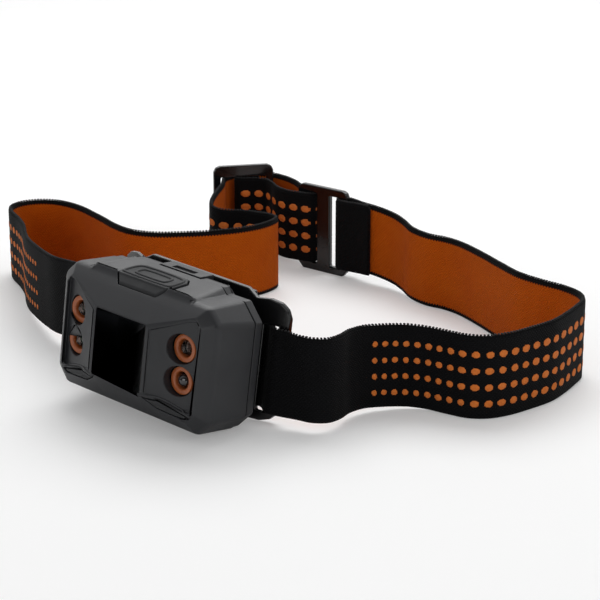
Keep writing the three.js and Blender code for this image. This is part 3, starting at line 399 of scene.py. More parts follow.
to_back_buckle = [
    (-31.6, 150.3, ON_BUCKLE), (-36.1, 150.1, ON_BUCKLE), (-40.1, 149.6, ON_BUCKLE),
    *wrap(BUCKLE_X + BUCKLE_HALF - BUCKLE_BAR, BUCKLE_Y, ON_BUCKLE, -1, 1),
    (-40.1, 153.5, ON_BUCKLE), (-36.1, 152.5, ON_BUCKLE), (-31.6, 152.2, 3), (-27.2, 152.1, 2.6)]
right_side = [
    (-21.4, 151.5, 1.9), (-15.6, 149.4, 1.1), (-9.8, 146.2, 0.4), (-2, 144.5, 0), (5, 144.8, 0),
    (12, 143.6, 0), (24, 138.6, 0), (36, 132.6, 0), (46, 128, 0), (56, 126.2, 0), (64, 125.6, 0),
    (71, 123.2, 0), (75.6, 118.6, 0), (77.6, 112, 0), (79.2, 104, 0), (80, 96, 0), (78.8, 87, 0),
    (77, 79, 0), (74, 73, 0), (69.5, 69.6, 0), (63, 68.4, 0), (57, 67.2, 0.2), (52, 64.4, 0.6),
    (47.4, 59, 1), (44.4, 53.2, 1.4), (44, 47, 1.7), (45.4, 41, 2), (45.2, 36, 2.3),
    (42.2, 32.6, 2.6), (38.2, 31.4, 2.8)]
through_ear = [(33.6, 31.1), (30.6, 30.2), (28.5, 31.1), (26.8, 32.5), (23.6, 33.2)]
left_side = [
    (-38.4, 31.2, 6.4), (-44, 32.4, 5.6), (-52, 35, 4.6), (-60, 37, 3.6), (-69, 38.6, 2.8),
    (-78, 42.4, 2), (-87, 46.6, 1.5), (-96, 51.4, 1), (-104, 57, 0.6), (-112, 63.4, 0.3),
    (-121, 69, 0), (-128.6, 72.8, 0), (-134, 77, 0), (-136, 82.6, 0), (-134.4, 88.4, 0),
    (-130, 92.2, 0), (-123.6, 93.6, 0), (-115, 92.8, 0), (-106, 90.2, 0), (-98, 87.6, 0),
    (-90, 84.8, 0), (-81, 83.4, 0), (-72.6, 86.2, 0), (-65, 93.2, 0), (-57.6, 102.6, 0),
    (-53.5, 111.2, 0), (-52.2, 119.9, 0), (-53.9, 126.9, 0.1)]
to_slider = [
    (-58.1, 128.3, 0.1), (-63.5, 127.4, 0.1), (-68.3, 125.4, 0.2), (-71.9, 122.8, 0.3),
    (-75.1, 121.1, 0.5), (-78.5, 121.3, 0.8), (-81.9, 124.1, 1.4), (-84.7, 128.3, 2.2),
    (-87, 132.9, 3.1), (-89.4, 138.1, 4),
    by_slider(-6.9, 0),
    (-93.7, 149.7, ON_SLIDER), (-92.2, 155.5, 4.4), (-87.9, 159.7, 4.2), (-81.4, 161.1, 3.8),
    (-73.8, 159.7, 3.4), (-67.4, 156.5, ON_BUCKLE), (-63.8, 155, ON_BUCKLE)]
back_from_buckle = [
    *wrap(BUCKLE_X - BUCKLE_HALF + WIDE_BAR, BUCKLE_Y, ON_BUCKLE, 1, -1),
    (-63.6, 148.6, ON_BUCKLE), (-67.6, 147.9, 3.2), (-72.4, 148.5, 3.5),
    (-76.8, 150.7, 3.9), (-80.6, 151.5, 4.3)]
around_slider = [
    by_slider(4.2, 3.1),
    *[by_slider(a, o) for a, o, _ in wrap(-SLIDER_BAR / 2, 0, 0, -1, -1)],
    by_slider(3.4, -2.1), by_slider(6, -2)]


def standing(x, y, low):
    base = TABLE + Vector((x, y, low)) * MM
    return base, base + Vector((0, 0, WEB_WIDTH * MM))


def on_bracket(x, y):
    half = WEB_WIDTH / 2
    return in_lamp(x, y, STRAP_DROP - half), in_lamp(x, y, STRAP_DROP + half)


stations = [standing(*p) for p in to_back_buckle + right_side]
RIGHT_EAR = len(stations)
stations += [on_bracket(x, y) for x, y in through_ear]
stations += [on_bracket(x, through_ear[-1][1]) for x in (12, 0, -12)]
stations += [on_bracket(-x, y) for x, y in reversed(through_ear)]
LEFT_EAR = len(stations)
stations += [standing(*p) for p in left_side + to_slider + back_from_buckle + around_slider]


def curve_point(points, at):
    """A centripetal Catmull-Rom curve through the points, at a place counted in points."""
    i = min(int(at), len(points) - 2)
    w = at - i
    p1, p2 = points[i], points[i + 1]
    p0 = points[i - 1] if i else p1 * 2 - p2
    p3 = points[i + 2] if i + 2 < len(points) else p2 * 2 - p1
    d0, d1, d2 = ((b - a).length ** 0.5 or 1 for a, b in ((p0, p1), (p1, p2), (p2, p3)))
    t1 = ((p1 - p0) / d0 - (p2 - p0) / (d0 + d1) + (p2 - p1) / d1) * d1
    t2 = ((p2 - p1) / d1 - (p3 - p1) / (d1 + d2) + (p3 - p2) / d2) * d1
    return p1 + t1 * w + (p2 * 3 - p1 * 3 - t1 * 2 - t2) * w**2 + (p1 * 2 - p2 * 2 + t1 + t2) * w**3


STEPS = 6
count = (len(stations) - 1) * STEPS
low_edge = [curve_point([s[0] for s in stations], i / STEPS) for i in range(count + 1)]
high_edge = [curve_point([s[1] for s in stations], i / STEPS) for i in range(count + 1)]
reach = [0, *accumulate(((b[0] + b[1]) / 2 - (a[0] + a[1]) / 2).length
                        for a, b in zip(zip(low_edge, high_edge),
                                        zip(low_edge[1:], high_edge[1:])))]
STRAP_LENGTH = reach[-1]


def strap_section():
    """The webbing's outline as (height, outwards, side): a flat band with rounded selvedges."""
    h, edge = STRAP_THICK / 2, 0.5
    ups = [edge, 1.2, 4, 8, 12.5, 17, 21, WEB_WIDTH - 1.2, WEB_WIDTH - edge]
    outside = [(u, -h, 0) for u in ups]
    inside = [(u, h, 1) for u in reversed(ups)]
    top = [(WEB_WIDTH - 0.12, -h * 0.55, 2), (WEB_WIDTH, 0, 2), (WEB_WIDTH - 0.12, h * 0.55, 2)]
    foot = [(0.12, h * 0.55, 2), (0, 0, 2), (0.12, -h * 0.55, 2)]
    return outside + top + inside + foot


def new_piece(name, bm, *materials, smooth=True):
    mesh = bpy.data.meshes.new(name)
    bm.to_mesh(mesh)
    bm.free()
    made = bpy.data.objects.new(name, mesh)
    bpy.context.scene.collection.objects.link(made)
    for material in materials:
        mesh.materials.append(material)
    if smooth:
        mesh.shade_smooth()
    return made


def make_strap():
    bm = bmesh.new()
    uv = bm.loops.layers.uv.new("length_height")
    outline = strap_section()
    rings = []
    for i in range(count + 1):
        low, high = low_edge[i], high_edge[i]
        way = low_edge[min(i + 1, count)] - low_edge[max(i - 1, 0)]
        out = way.cross(high - low).normalized()
        rings.append([bm.verts.new(low.lerp(high, u / WEB_WIDTH) + out * o * MM)
                      for u, o, _ in outline])
    n = len(outline)

    def face(corners, places, material):
        made = bm.faces.new(corners)
        made.material_index = material
        for loop, (s, u) in zip(made.loops, places):
            loop[uv].uv = (s, u * MM)

    for i in range(count):
        for k in range(n):
            j = (k + 1) % n
            sides = {outline[k][2], outline[j][2]}
            material = 1 if sides == {1} else 0
            a, b, s0, s1 = rings[i], rings[i + 1], reach[i], reach[i + 1]
            face((a[k], b[k], b[j], a[j]),
                 ((s0, outline[k][0]), (s1, outline[k][0]),
                  (s1, outline[j][0]), (s0, outline[j][0])),
                 material)
    for ring, s, ends in ((rings[0], 0, list(range(n))),
                          (rings[-1], STRAP_LENGTH, list(reversed(range(n))))):
        face([ring[k] for k in ends], [(s, outline[k][0]) for k in ends], 0)
    return new_piece("strap_webbing", bm, WEB_BLACK, WEB_ORANGE)


strap = make_strap()
volume = bmesh.new()
volume.from_mesh(strap.data)
if volume.calc_volume(signed=True) < 0:
    strap.data.flip_normals()
volume.free()


# ---------------------------------------------------------------- dots along the strap
def edge_curves():
    """Both edges of the strap as one curve object of two splines, for the trees that follow it."""
    data = bpy.data.curves.new("strap_edges", "CURVE")
    data.dimensions = "3D"
    for points in (low_edge, high_edge):
        spline = data.splines.new("POLY")
        spline.points.add(len(points) - 1)
        for point, place in zip(spline.points, points):
            point.co = (*place, 1)
    made = bpy.data.objects.new("strap_edges", data)
    bpy.context.scene.collection.objects.link(made)
    return made


def geometry_tree(name, inputs):
    tree, given, out = new_group(name, {"Geometry": ("Geometry", None), **inputs},
                                 {"Geometry": ("Geometry", None)}, "GeometryNodeTree")
    return tree, given, out["Geometry"]


def v(tree, operation, *terms):
    return sum_up(tree, operation, *terms, kind="ShaderNodeVectorMath")


def bend_to_strap(tree, curves, geometry, length, width, side, half_thick):
    """Moves flat geometry (x along, y up, z outwards) on to the strap between its two edges."""
    flat = add(tree, "ShaderNodeSeparateXYZ",
               {0: add(tree, "GeometryNodeInputPosition").outputs[0]}).outputs
    share = sum_up(tree, "DIVIDE", flat[0], length)
    low, high = (add(tree, "GeometryNodeSampleCurve",
                     {"Curves": curves, "Factor": share, "Curve Index": index},
                     mode="FACTOR").outputs
                 for index in (0, 1))
    up = v(tree, "SUBTRACT", high["Position"], low["Position"])
    out = v(tree, "NORMALIZE", v(tree, "CROSS_PRODUCT", low["Tangent"], up))
    risen = add(tree, "ShaderNodeVectorMath", operation="SCALE")
    tree.links.new(up, risen.inputs[0])
    tree.links.new(sum_up(tree, "DIVIDE", flat[1], width), risen.inputs["Scale"])
    proud = add(tree, "ShaderNodeVectorMath", operation="SCALE")
    tree.links.new(out, proud.inputs[0])
    tree.links.new(sum_up(tree, "MULTIPLY", sum_up(tree, "ADD", flat[2], half_thick), side),
                   proud.inputs["Scale"])
    place = v(tree, "ADD", v(tree, "ADD", low["Position"], risen.outputs[0]), proud.outputs[0])
    return add(tree, "GeometryNodeSetPosition",
               {"Geometry": geometry, "Position": place}).outputs[0]


def make_dot_tree():
    tree, given, out = geometry_tree("strap_dots", {
        "Columns": ("Int", 60), "Rows": ("Int", 4), "Start": ("Float", 0.0), "Way": ("Float", 1.0),
        "Pitch": ("Float", 0.003), "Growth": ("Float", 0.00003), "Growing": ("Float", 20.0),
        "Sides": ("Int", 8), "Rings": ("Int", 5), "Ragged": ("Float", 0.0007),
        "First Row": ("Float", 0.0047),
        "Row Pitch": ("Float", 0.00493), "Dot Length": ("Float", 0.002),
        "Dot Growth": ("Float", 0.00003), "Dot Height": ("Float", 0.0022),
        "Proud": ("Float", 0.0002),
        "Strap Length": ("Float", 0.7), "Strap Width": ("Float", 0.025),
        "Half Thickness": ("Float", 0.0007), "Side": ("Float", -1.0), "Seed": ("Int", 3),
        "Material": ("Material", None)})
    line = add(tree, "GeometryNodeMeshLine",
               {"Count": sum_up(tree, "MULTIPLY", given["Columns"], given["Rows"])}, mode="OFFSET")
    index = add(tree, "GeometryNodeInputIndex").outputs[0]
    column = sum_up(tree, "FLOOR", sum_up(tree, "DIVIDE", index, given["Rows"]))
    row = sum_up(tree, "MODULO", index, given["Rows"])
    grown = sum_up(tree, "MINIMUM", column, given["Growing"])
    steady = sum_up(tree, "SUBTRACT", column, grown)
    spread = sum_up(tree, "MULTIPLY_ADD", sum_up(tree, "MULTIPLY", grown, grown), 0.5,
                    sum_up(tree, "MULTIPLY", steady, grown))
    run = sum_up(tree, "MULTIPLY_ADD", column, given["Pitch"],
                 sum_up(tree, "MULTIPLY", spread, given["Growth"]))
    along = sum_up(tree, "ADD", given["Start"], sum_up(tree, "MULTIPLY", run, given["Way"]))
    up = sum_up(tree, "ADD", given["First Row"], sum_up(tree, "MULTIPLY", row, given["Row Pitch"]))
    place = add(tree, "ShaderNodeCombineXYZ", {0: along, 1: up}).outputs[0]
    points = add(tree, "GeometryNodeSetPosition", {"Geometry": line.outputs[0], "Position": place})
    bigger = sum_up(tree, "MULTIPLY", grown, given["Dot Growth"])
    long = sum_up(tree, "ADD", given["Dot Length"], bigger)
    tall = sum_up(tree, "MULTIPLY_ADD", bigger, 0.45, given["Dot Height"])
    uneven = add(tree, "FunctionNodeRandomValue",
                 {2: 0.92, 3: 1.08, "Seed": given["Seed"]}, data_type="FLOAT").outputs[1]
    scale = add(tree, "ShaderNodeCombineXYZ",
                {0: sum_up(tree, "MULTIPLY", long, uneven), 1: tall, 2: given["Proud"]}).outputs[0]
    ball = add(tree, "GeometryNodeMeshUVSphere",
               {"Segments": given["Sides"], "Rings": given["Rings"], "Radius": 0.5})
    half_side = sum_up(tree, "DIVIDE", math.pi, given["Sides"])
    turned_ball = add(tree, "GeometryNodeTransform",
                      {"Geometry": ball.outputs["Mesh"],
                       "Rotation": add(tree, "ShaderNodeCombineXYZ", {2: half_side}).outputs[0]})
    dots = add(tree, "GeometryNodeInstanceOnPoints",
               {"Points": points.outputs[0], "Instance": turned_ball.outputs[0], "Scale": scale})
    whole = add(tree, "GeometryNodeRealizeInstances", {"Geometry": dots.outputs[0]}).outputs[0]
    ragged = add(tree, "ShaderNodeTexNoise",
                 {"Vector": add(tree, "GeometryNodeInputPosition").outputs[0], "Scale": 1400.0})
    shake = add(tree, "ShaderNodeVectorMath", operation="SCALE")
    flat_noise = v(tree, "MULTIPLY", v(tree, "SUBTRACT", ragged.outputs["Color"], (0.5, 0.5, 0.5)),
                   (1, 1, 0))
    tree.links.new(flat_noise, shake.inputs[0])
    tree.links.new(given["Ragged"], shake.inputs["Scale"])
    real = add(tree, "GeometryNodeSetPosition",
               {"Geometry": whole, "Offset": shake.outputs[0]}).outputs[0]
    bent = bend_to_strap(tree, given["Geometry"], real, given["Strap Length"], given["Strap Width"],
                         given["Side"], given["Half Thickness"])
    done = add(tree, "GeometryNodeSetMaterial", {"Geometry": bent, "Material": given["Material"]})
    tree.links.new(done.outputs[0], out)
    return tree


def grow(name, source, tree, **values):
    """Runs a tree on the source object and keeps what it makes as a plain mesh."""
    modifier = source.modifiers.new(name, "NODES")
    modifier.node_group = tree
    for item in tree.interface.items_tree:
        if item.in_out == "INPUT" and item.name in values:
            modifier[item.identifier] = values[item.name]
    graph = bpy.context.evaluated_depsgraph_get()
    mesh = bpy.data.meshes.new_from_object(source.evaluated_get(graph))
    source.modifiers.remove(modifier)
    made = bpy.data.objects.new(name, mesh)
    bpy.context.scene.collection.objects.link(made)
    mesh.name = name
    mesh.shade_smooth()
    return made


edges = edge_curves()
DOT_TREE = make_dot_tree()
PITCH_NEAR, PITCH_FAR, GROWING = 3.05, 4.9, 22


def dot_run(name, start, end, seed):
    """Dots from one end of a run to the other, closer and smaller at its start."""
    growing_length = (PITCH_NEAR + PITCH_FAR) / 2 * GROWING
    columns = GROWING + int((abs(end - start) / MM - growing_length) / PITCH_FAR)
    return grow(name, edges, DOT_TREE, **{
        "Columns": columns, "Start": start, "Way": 1.0 if end > start else -1.0,
        "Pitch": PITCH_NEAR * MM, "Growth": (PITCH_FAR - PITCH_NEAR) / GROWING * MM,
        "Growing": float(GROWING), "Dot Length": 1.8 * MM, "Dot Height": 1.9 * MM,
        "Dot Growth": 1.9 / GROWING * MM, "Strap Length": STRAP_LENGTH, "Seed": seed,
        "Proud": 0.3 * MM, "Half Thickness": (STRAP_THICK / 2 - 0.02) * MM, "Material": WEB_DOT})


def edge_loops():
    """The small knitted loops along both selvedges."""
    pitch = 1.05
    return grow("selvedge_loops", edges, DOT_TREE, **{
        "Columns": int(STRAP_LENGTH / MM / pitch) - 1, "Rows": 2, "Start": pitch * MM, "Way": 1.0,
        "Pitch": pitch * MM, "Growth": 0.0, "Dot Growth": 0.0, "Dot Length": 0.85 * MM,
        "Dot Height": 0.6 * MM, "Proud": 1.2 * MM, "Half Thickness": 0.0, "First Row": 0.38 * MM,
        "Row Pitch": (WEB_WIDTH - 0.16) * MM, "Sides": 6, "Rings": 4, "Ragged": 0.0002,
        "Strap Length": STRAP_LENGTH, "Material": WEB_THREAD})


right_ear_at = reach[RIGHT_EAR * STEPS]
left_ear_at = reach[LEFT_EAR * STEPS]
right_dots = dot_run("strap_dots_right", right_ear_at - 0.0345, 0.045, 3)
left_dots = dot_run("strap_dots_left", left_ear_at + 0.050, STRAP_LENGTH - 0.007, 5)
loops = edge_loops()
bpy.data.objects.remove(edges)


# ---------------------------------------------------------------- softened moulded pieces
def soften(node, name, width, material, segments=3, angle=28, weigh=None):
    """A merged copy of a CAD node with its edges rounded; the copy stands for the node. weigh gives
    an edge's share of the width from its two ends, in the lamp's frame."""
    bm = bmesh.new()
    bm.from_mesh(nodes[node].data)
    bmesh.ops.remove_doubles(bm, verts=bm.verts, dist=0.02 * MM)
    bmesh.ops.dissolve_degenerate(bm, edges=bm.edges, dist=0.02 * MM)
    bmesh.ops.dissolve_limit(bm, angle_limit=math.radians(1), verts=bm.verts, edges=bm.edges)
    if weigh:
        to_lamp = LAMP.inverted()
        share = bm.edges.layers.float.new("bevel_weight_edge")
        for edge in bm.edges:
            if len(edge.link_faces) == 2 and edge.calc_face_angle(0) > math.radians(angle):
                edge[share] = weigh(*(to_lamp @ end.co / MM for end in edge.verts))
    made = new_piece(name, bm, material)
    bevel = made.modifiers.new("round", "BEVEL")
    bevel.width = width * MM
    bevel.segments = segments
    bevel.limit_method = "WEIGHT" if weigh else "ANGLE"
    bevel.angle_limit = math.radians(angle)
    bevel.use_clamp_overlap = False
    bevel.miter_outer = "MITER_ARC"
    made.modifiers.new("flat", "WEIGHTED_NORMAL")
    graph = bpy.context.evaluated_depsgraph_get()
    mesh = bpy.data.meshes.new_from_object(made.evaluated_get(graph))
    made.modifiers.clear()
    made.data = mesh
    return made


def stand_for(piece, body, slot, *replaced):
    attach(piece, body)
    if replaced:
        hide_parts(*replaced)
    return piece


FACE_Y, PART_Y = 6.3, 20.3


def on_outline(place):
    """Whether a place in the lamp's frame is on the housing's outer walls."""
    return abs(place.x) > 24.5 or abs(place.z) > 14.5


def housing_edge(a, b):
    """Big rounds on the housing's long outer edges, small ones on its openings and parting line."""
    if not (on_outline(a) and on_outline(b)):
        return 0.22
    face = abs(a.y - FACE_Y) < 0.3 and abs(b.y - FACE_Y) < 0.3
    corner = min(a.y, b.y) < FACE_Y + 0.3 and max(a.y, b.y) > PART_Y - 0.3
    return 1.0 if face else 0.8 if corner else 0.22


front = soften("front_shell", "housing_front", 1.5, HOUSING, segments=4, angle=14,
               weigh=housing_edge)
stand_for(front, "front_housing", "housing", "front_shell")
stand_for(soften("rear_shell", "housing_rear", 0.3, HOUSING),
          "rear_housing", "housing", "rear_shell")
stand_for(soften("bracket", "strap_bracket", 0.4, GLOSSY), "bracket", "gloss_black", "bracket")
stand_for(soften("buckle", "end_buckle", 0.45, GLOSSY), "bracket", "gloss_black", "buckle")
stand_for(soften("slider", "length_slider", 0.45, GLOSSY), "slider", "gloss_black", "slider")
stand_for(soften("battery_latch", "latch_tongue", 0.22, HOUSING),
          "latch", "housing", "battery_latch")
stand_for(soften("power_button", "button_cap", 0.3, RUBBER),
          "button", "soft_rubber", "power_button")
stand_for(soften("accent_bezel", "bezel_plate", 0.15, COPPER),
          "front_housing", "copper_accent", "accent_bezel")
for side in ("right", "left"):
    stand_for(soften(f"grip_inlay_{side}", f"grip_pad_{side}", 0.1, GRIP),
              "front_housing", "soft_rubber", f"grip_inlay_{side}")
EDGE_OF_PAD = [(9.0, -10.9), (12, -10.5), (15.4, -10.2), (19, -11), (22.5, -12.2), (25.6, -13.4)]


def ridge_tree():
    """A round bead along a curve, sunk halfway into what carries it."""
    tree, given, out = geometry_tree("raised_bead", {
        "Radius": ("Float", 0.0004), "Sides": ("Int", 10), "Material": ("Material", None)})
    ring = add(tree, "GeometryNodeCurvePrimitiveCircle",
               {"Resolution": given["Sides"], "Radius": given["Radius"]})
    bead = add(tree, "GeometryNodeCurveToMesh",
               {"Curve": given["Geometry"], "Profile Curve": ring.outputs[0], "Fill Caps": True})
    real = add(tree, "GeometryNodeRealizeInstances", {"Geometry": bead.outputs[0]})
    done = add(tree, "GeometryNodeSetMaterial",
               {"Geometry": real.outputs[0], "Material": given["Material"]})
    tree.links.new(done.outputs[0], out)
    return tree


RIDGE_TREE = ridge_tree()


def rounded(points, closed, times=3):
    """Corner-cutting of a line of (a, b) points, which rounds its corners."""
    for _ in range(times):
        pairs = (list(zip(points, points[1:] + points[:1])) if closed
                 else list(zip(points, points[1:])))
        fresh = [tuple(p * (1 - t) + q * t for p, q in zip(a, b))
                 for a, b in pairs for t in (0.25, 0.75)]
        points = fresh if closed else [points[0], *fresh[1:-1], points[-1]]
    return points


def bead(name, places, closed, radius, material, body, slot):
    data = bpy.data.curves.new(name, "CURVE")
    data.dimensions = "3D"
    spline = data.splines.new("POLY")
    spline.points.add(len(places) - 1)
    for point, place in zip(spline.points, places):
        point.co = (*place, 1)
    spline.use_cyclic_u = closed
    line = bpy.data.objects.new(name + "_line", data)
    bpy.context.scene.collection.objects.link(line)
    made = grow(name, line, RIDGE_TREE, Radius=radius * MM, Material=material)
    bpy.data.objects.remove(line)
    return stand_for(made, body, slot)


def on_surface(piece, x, z, sink):
    """The point of a piece straight ahead of the lamp's back at x, z, sunk a little."""
    start, way = in_lamp(x, -6, z), (in_lamp(0, 1, 0) - in_lamp(0, 0, 0)).normalized()
    hit, place, _, _ = piece.ray_cast(start, way)
    return place + way * sink * MM if hit else start


for side, sign in (("right", 1), ("left", -1)):
    lip = [on_surface(front, sign * x, z + 0.55, 0.12) for x, z in rounded(EDGE_OF_PAD, False)]
    bead(f"grip_lip_{side}", lip, False, 0.42, HOUSING, "front_housing", "housing")


def on_button(x, y, sink):
    """A point on the button's top, which follows the slope of the roof."""
    return in_lamp(x, y, 18.9 + (y - 6.3) * 1.2 / 14 + 0.45 - sink)


OUTER_RIDGE = [(8.6, 7.4), (9.3, 8.4), (9.3, 13.0), (7.7, 15.3)]
INNER_RIDGE = [(5.0, 9.0), (5.9, 9.8), (5.9, 12.2), (5.0, 13.2)]
for name, half, sink in (("outer", OUTER_RIDGE, 0.1), ("inner", INNER_RIDGE, 0.1)):
    loop = rounded(half + [(-x, y) for x, y in reversed(half)], True)
    bead(f"button_ridge_{name}", [on_button(x, y, sink) for x, y in loop], True, 0.5, RUBBER,
         "button", "soft_rubber")


# ---------------------------------------------------------------- turned pieces of the light unit
def turned(name, profile, x, z, material, sides=64, closed=True):
    """A profile of (radius, y) turned about the line along y through x, z in the lamp's frame."""
    bm = bmesh.new()
    rings = [[bm.verts.new(in_lamp(x + r * math.cos(a), y, z + r * math.sin(a)))
              for a in (2 * math.pi * k / sides for k in range(sides if r > 1e-6 else 1))]
             for r, y in profile]
    pairs = list(zip(rings, rings[1:])) + ([(rings[-1], rings[0])] if closed else [])
    for a, b in pairs:
        for k in range(sides):
            j = (k + 1) % sides
            corners = [a[k % len(a)], a[j % len(a)], b[j % len(b)], b[k % len(b)]]
            corners = [c for i, c in enumerate(corners) if c not in corners[:i]]
            if len(corners) > 2:
                bm.faces.new(corners)
    bmesh.ops.recalc_face_normals(bm, faces=bm.faces)
    made = new_piece(name, bm, material)
    made.data.set_sharp_from_angle(angle=math.radians(35))
    return made


MOUTH, THROAT, DEPTH = 8.7, 2.3, 7.2
BOWL_FRONT, BOWL_INSET, BOWL_STEPS = 0.4, 0.35, 28
inside = [(THROAT + (MOUTH - THROAT) * math.sqrt(1 - i / BOWL_STEPS) - BOWL_INSET,
           BOWL_FRONT + DEPTH * i / BOWL_STEPS)
          for i in range(BOWL_STEPS + 1)]
outside = [(r + 0.5 - (0.15 if i == 0 else 0), y) for i, (r, y) in enumerate(inside)][::-1]
stand_for(turned("mirror_bowl", inside + outside, 0, 0, CHROME, sides=96),
          "front_housing", "mirror_bowl", "reflector")
lens_edge = MOUTH - 1.1
stand_for(turned("bowl_window", [(0, 0.9), (lens_edge - 0.15, 0.9), (lens_edge, 1.05),
                                 (lens_edge, 1.35),
                                 (lens_edge - 0.15, 1.5), (0, 1.5)], 0, 0, WINDOW, closed=False),
          "front_housing", "clear_window", "main_lens")

base = [(0, 7.0), (1.5, 7.0), (1.7, 7.15), (1.75, 8.4), (0, 8.4)]
stand_for(turned("emitter_base", base, 0, 0, CERAMIC, sides=4, closed=False),
          "front_housing", "steel", "main_led")
glow = [(0, 6.75), (0.95, 6.75), (1.05, 6.85), (1.05, 7.0), (0, 7.0)]
stand_for(turned("emitter_phosphor", glow, 0, 0, PHOSPHOR_PAINTED_GLOW, sides=32, closed=False),
          "front_housing", "phosphor")
DOME_RADIUS, DOME_FOOT, DOME_STEPS = 1.5, 6.95, 10
shine = [(DOME_RADIUS * math.sin(t), DOME_FOOT - DOME_RADIUS * math.cos(t))
         for t in (math.pi / 2 * i / DOME_STEPS for i in range(DOME_STEPS + 1))]
stand_for(turned("emitter_dome", shine + [(0, DOME_FOOT)], 0, 0, WINDOW, sides=40, closed=False),
          "front_housing", "clear_window")

for number, (x, z) in enumerate(((20.5, 5.5), (-20.5, 5.5), (20.5, -3.8), (-20.5, -3.8)), 1):
    ring = [(2.6, 7.9), (2.42, 6.2), (2.42, 4.75), (2.52, 4.3), (2.72, 4.02), (2.95, 3.92),
            (3.7, 3.9), (3.9, 3.97), (4.0, 4.15), (4.0, 7.9)]
    stand_for(turned(f"orange_ring_{number}", ring, x, z, CUP), "front_housing", "orange_cup",
              f"led_cup_{number}")
    r, crown = 2.1, 5.6
    dome = [(r * math.sin(t), crown - r * math.cos(t))
            for t in (math.pi / 2 * i / 12 for i in range(13))]
    dark = number == 3
    stand_for(turned(f"led_dome_{number}", dome + [(r, 8.0), (0, 8.0)], x, z,
                     DARK_DOME if dark else EPOXY, sides=48, closed=False),
              "front_housing", "led_dark" if dark else "led_clear", f"small_led_{number}")
    if not dark:
        # The dark lead frame behind each clear dome paints the shade inside its cup.
        frame_cup = [(0, 7.0), (0.35, 6.9), (0.9, 6.2), (1.1, 6.2), (1.1, 6.9), (2.0, 7.1),
                     (2.0, 7.9), (0, 7.9)]
        stand_for(turned(f"lead_frame_{number}", frame_cup, x, z, LEAD_FRAME, sides=32,
                         closed=False),
                  "front_housing", "steel")

# ---------------------------------------------------------------- finishes of the other pieces
FINISHES = {
    "switch_plunger": CERAMIC, "tact_switch": STEEL, "led_board": BOARD,
    "contact_finger_plus": BRASS, "contact_finger_minus": BRASS, "gasket": SEAL,
    "cell_tray": NYLON,
    "contact_plate_plus": BRASS, "contact_bridge_left": BRASS, "contact_bridge_right": BRASS,
    "contact_plate_minus": BRASS, "opening_hinge_pin": STEEL, "latch_pin": STEEL,
    "tilt_hinge_pin": STEEL,
    **{f"board_screw_{n}": STEEL for n in range(1, 5)},
    **{f"battery_{n}": WRAP for n in range(1, 4)},
    **{f"contact_spring_{n}": STEEL for n in range(1, 4)},
}
for node, material in FINISHES.items():
    nodes[node].data.materials.clear()
    nodes[node].data.materials.append(material)

for piece in (strap, right_dots, left_dots, loops):
    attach(piece, "bracket")
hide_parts("strap")

# ---------------------------------------------------------------- floor, light and camera
def make_floor():
    made, tree, shader = blank("pale_floor")
    place = add(tree, "ShaderNodeTexCoord").outputs["Object"]
    paper = add(tree, "ShaderNodeTexNoise", {"Vector": place, "Scale": 6.0, "Detail": 2.0})
    tree.links.new(mix_colour(tree, paper.outputs[0], (0.8, 0.8, 0.8, 1), (0.82, 0.82, 0.82, 1)),
                   shader.inputs["Base Color"])
    shader.inputs["Roughness"].default_value = 0.7
    shader.inputs["Specular IOR Level"].default_value = 0.2
    shader.inputs["Emission Color"].default_value = (1, 1, 1, 1)
    rays = add(tree, "ShaderNodeLightPath").outputs
    seen = sum_up(tree, "MAXIMUM", rays["Is Camera Ray"], rays["Is Transmission Ray"])
    tree.links.new(sum_up(tree, "MULTIPLY", seen, 0.2), shader.inputs["Emission Strength"])
    bm = bmesh.new()
    bmesh.ops.create_grid(bm, x_segments=1, y_segments=1, size=3.0)
    floor = new_piece("floor", bm, made)


make_floor()

world = bpy.data.worlds.new("studio")
bpy.context.scene.world = world
world.use_nodes = True
tree = world.node_tree
tree.nodes.clear()
rays = add(tree, "ShaderNodeLightPath").outputs
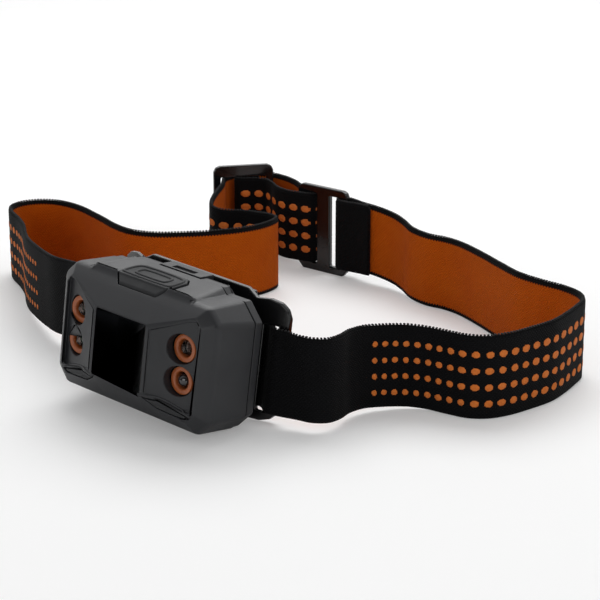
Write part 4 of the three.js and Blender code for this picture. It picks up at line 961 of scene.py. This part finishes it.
# What shiny surfaces mirror: a pale backdrop and ceiling, and a dim room on the camera's side
facing = add(tree, "ShaderNodeVectorMath",
             {0: add(tree, "ShaderNodeTexCoord").outputs["Generated"], 1: (-0.55, 0.64, 0.55)},
             operation="DOT_PRODUCT")
room = add(tree, "ShaderNodeMapRange",
           {"Value": facing.outputs["Value"], "From Min": -0.25, "From Max": 0.75,
            "To Min": 0.06, "To Max": 0.95}).outputs[0]
diffuse = add(tree, "ShaderNodeBackground", {"Color": (1, 1, 1, 1), "Strength": 0.42})
mirrored = add(tree, "ShaderNodeBackground", {"Color": (1, 1, 1, 1), "Strength": room})
white = add(tree, "ShaderNodeBackground", {"Color": (1, 1, 1, 1), "Strength": 1.0})
shiny = add(tree, "ShaderNodeMixShader",
            {0: rays["Is Glossy Ray"], 1: diffuse.outputs[0], 2: mirrored.outputs[0]})
either = add(tree, "ShaderNodeMixShader",
             {0: rays["Is Camera Ray"], 1: shiny.outputs[0], 2: white.outputs[0]})
add(tree, "ShaderNodeOutputWorld", {0: either.outputs[0]})


def soft_light(name, place, target, size, power):
    data = bpy.data.lights.new(name, "AREA")
    data.shape = "RECTANGLE"
    data.size, data.size_y = size
    data.energy = power
    lamp = bpy.data.objects.new(name, data)
    bpy.context.scene.collection.objects.link(lamp)
    lamp.location = place
    lamp.rotation_euler = (Vector(target) - Vector(place)).to_track_quat("-Z", "Y").to_euler()


soft_light("overhead", (-0.25, 0.45, 0.85), (0, 0, 0), (0.9, 0.7), 6.5)
soft_light("front_fill", (0.3, -1.0, 0.3), (0, -0.05, 0.02), (0.7, 0.4), 1.6)
soft_light("right_fill", (1.0, 0.1, 0.45), (0, 0, 0.02), (0.5, 0.5), 1.2)

CAMERA_PLACE, CAMERA_TILT, CAMERA_TURN = (0.3912, -0.4254, 0.2), 72, 40.7  # metres, degrees
LENS, SENSOR = 114, 36
camera_data = bpy.data.cameras.new("camera")
camera_data.lens, camera_data.sensor_width = LENS, SENSOR
camera = bpy.data.objects.new("camera", camera_data)
bpy.context.scene.collection.objects.link(camera)
camera.location = CAMERA_PLACE
camera.rotation_euler = (math.radians(CAMERA_TILT), 0, math.radians(CAMERA_TURN))
bpy.context.scene.camera = camera
bpy.context.scene.view_settings.view_transform = "Standard"
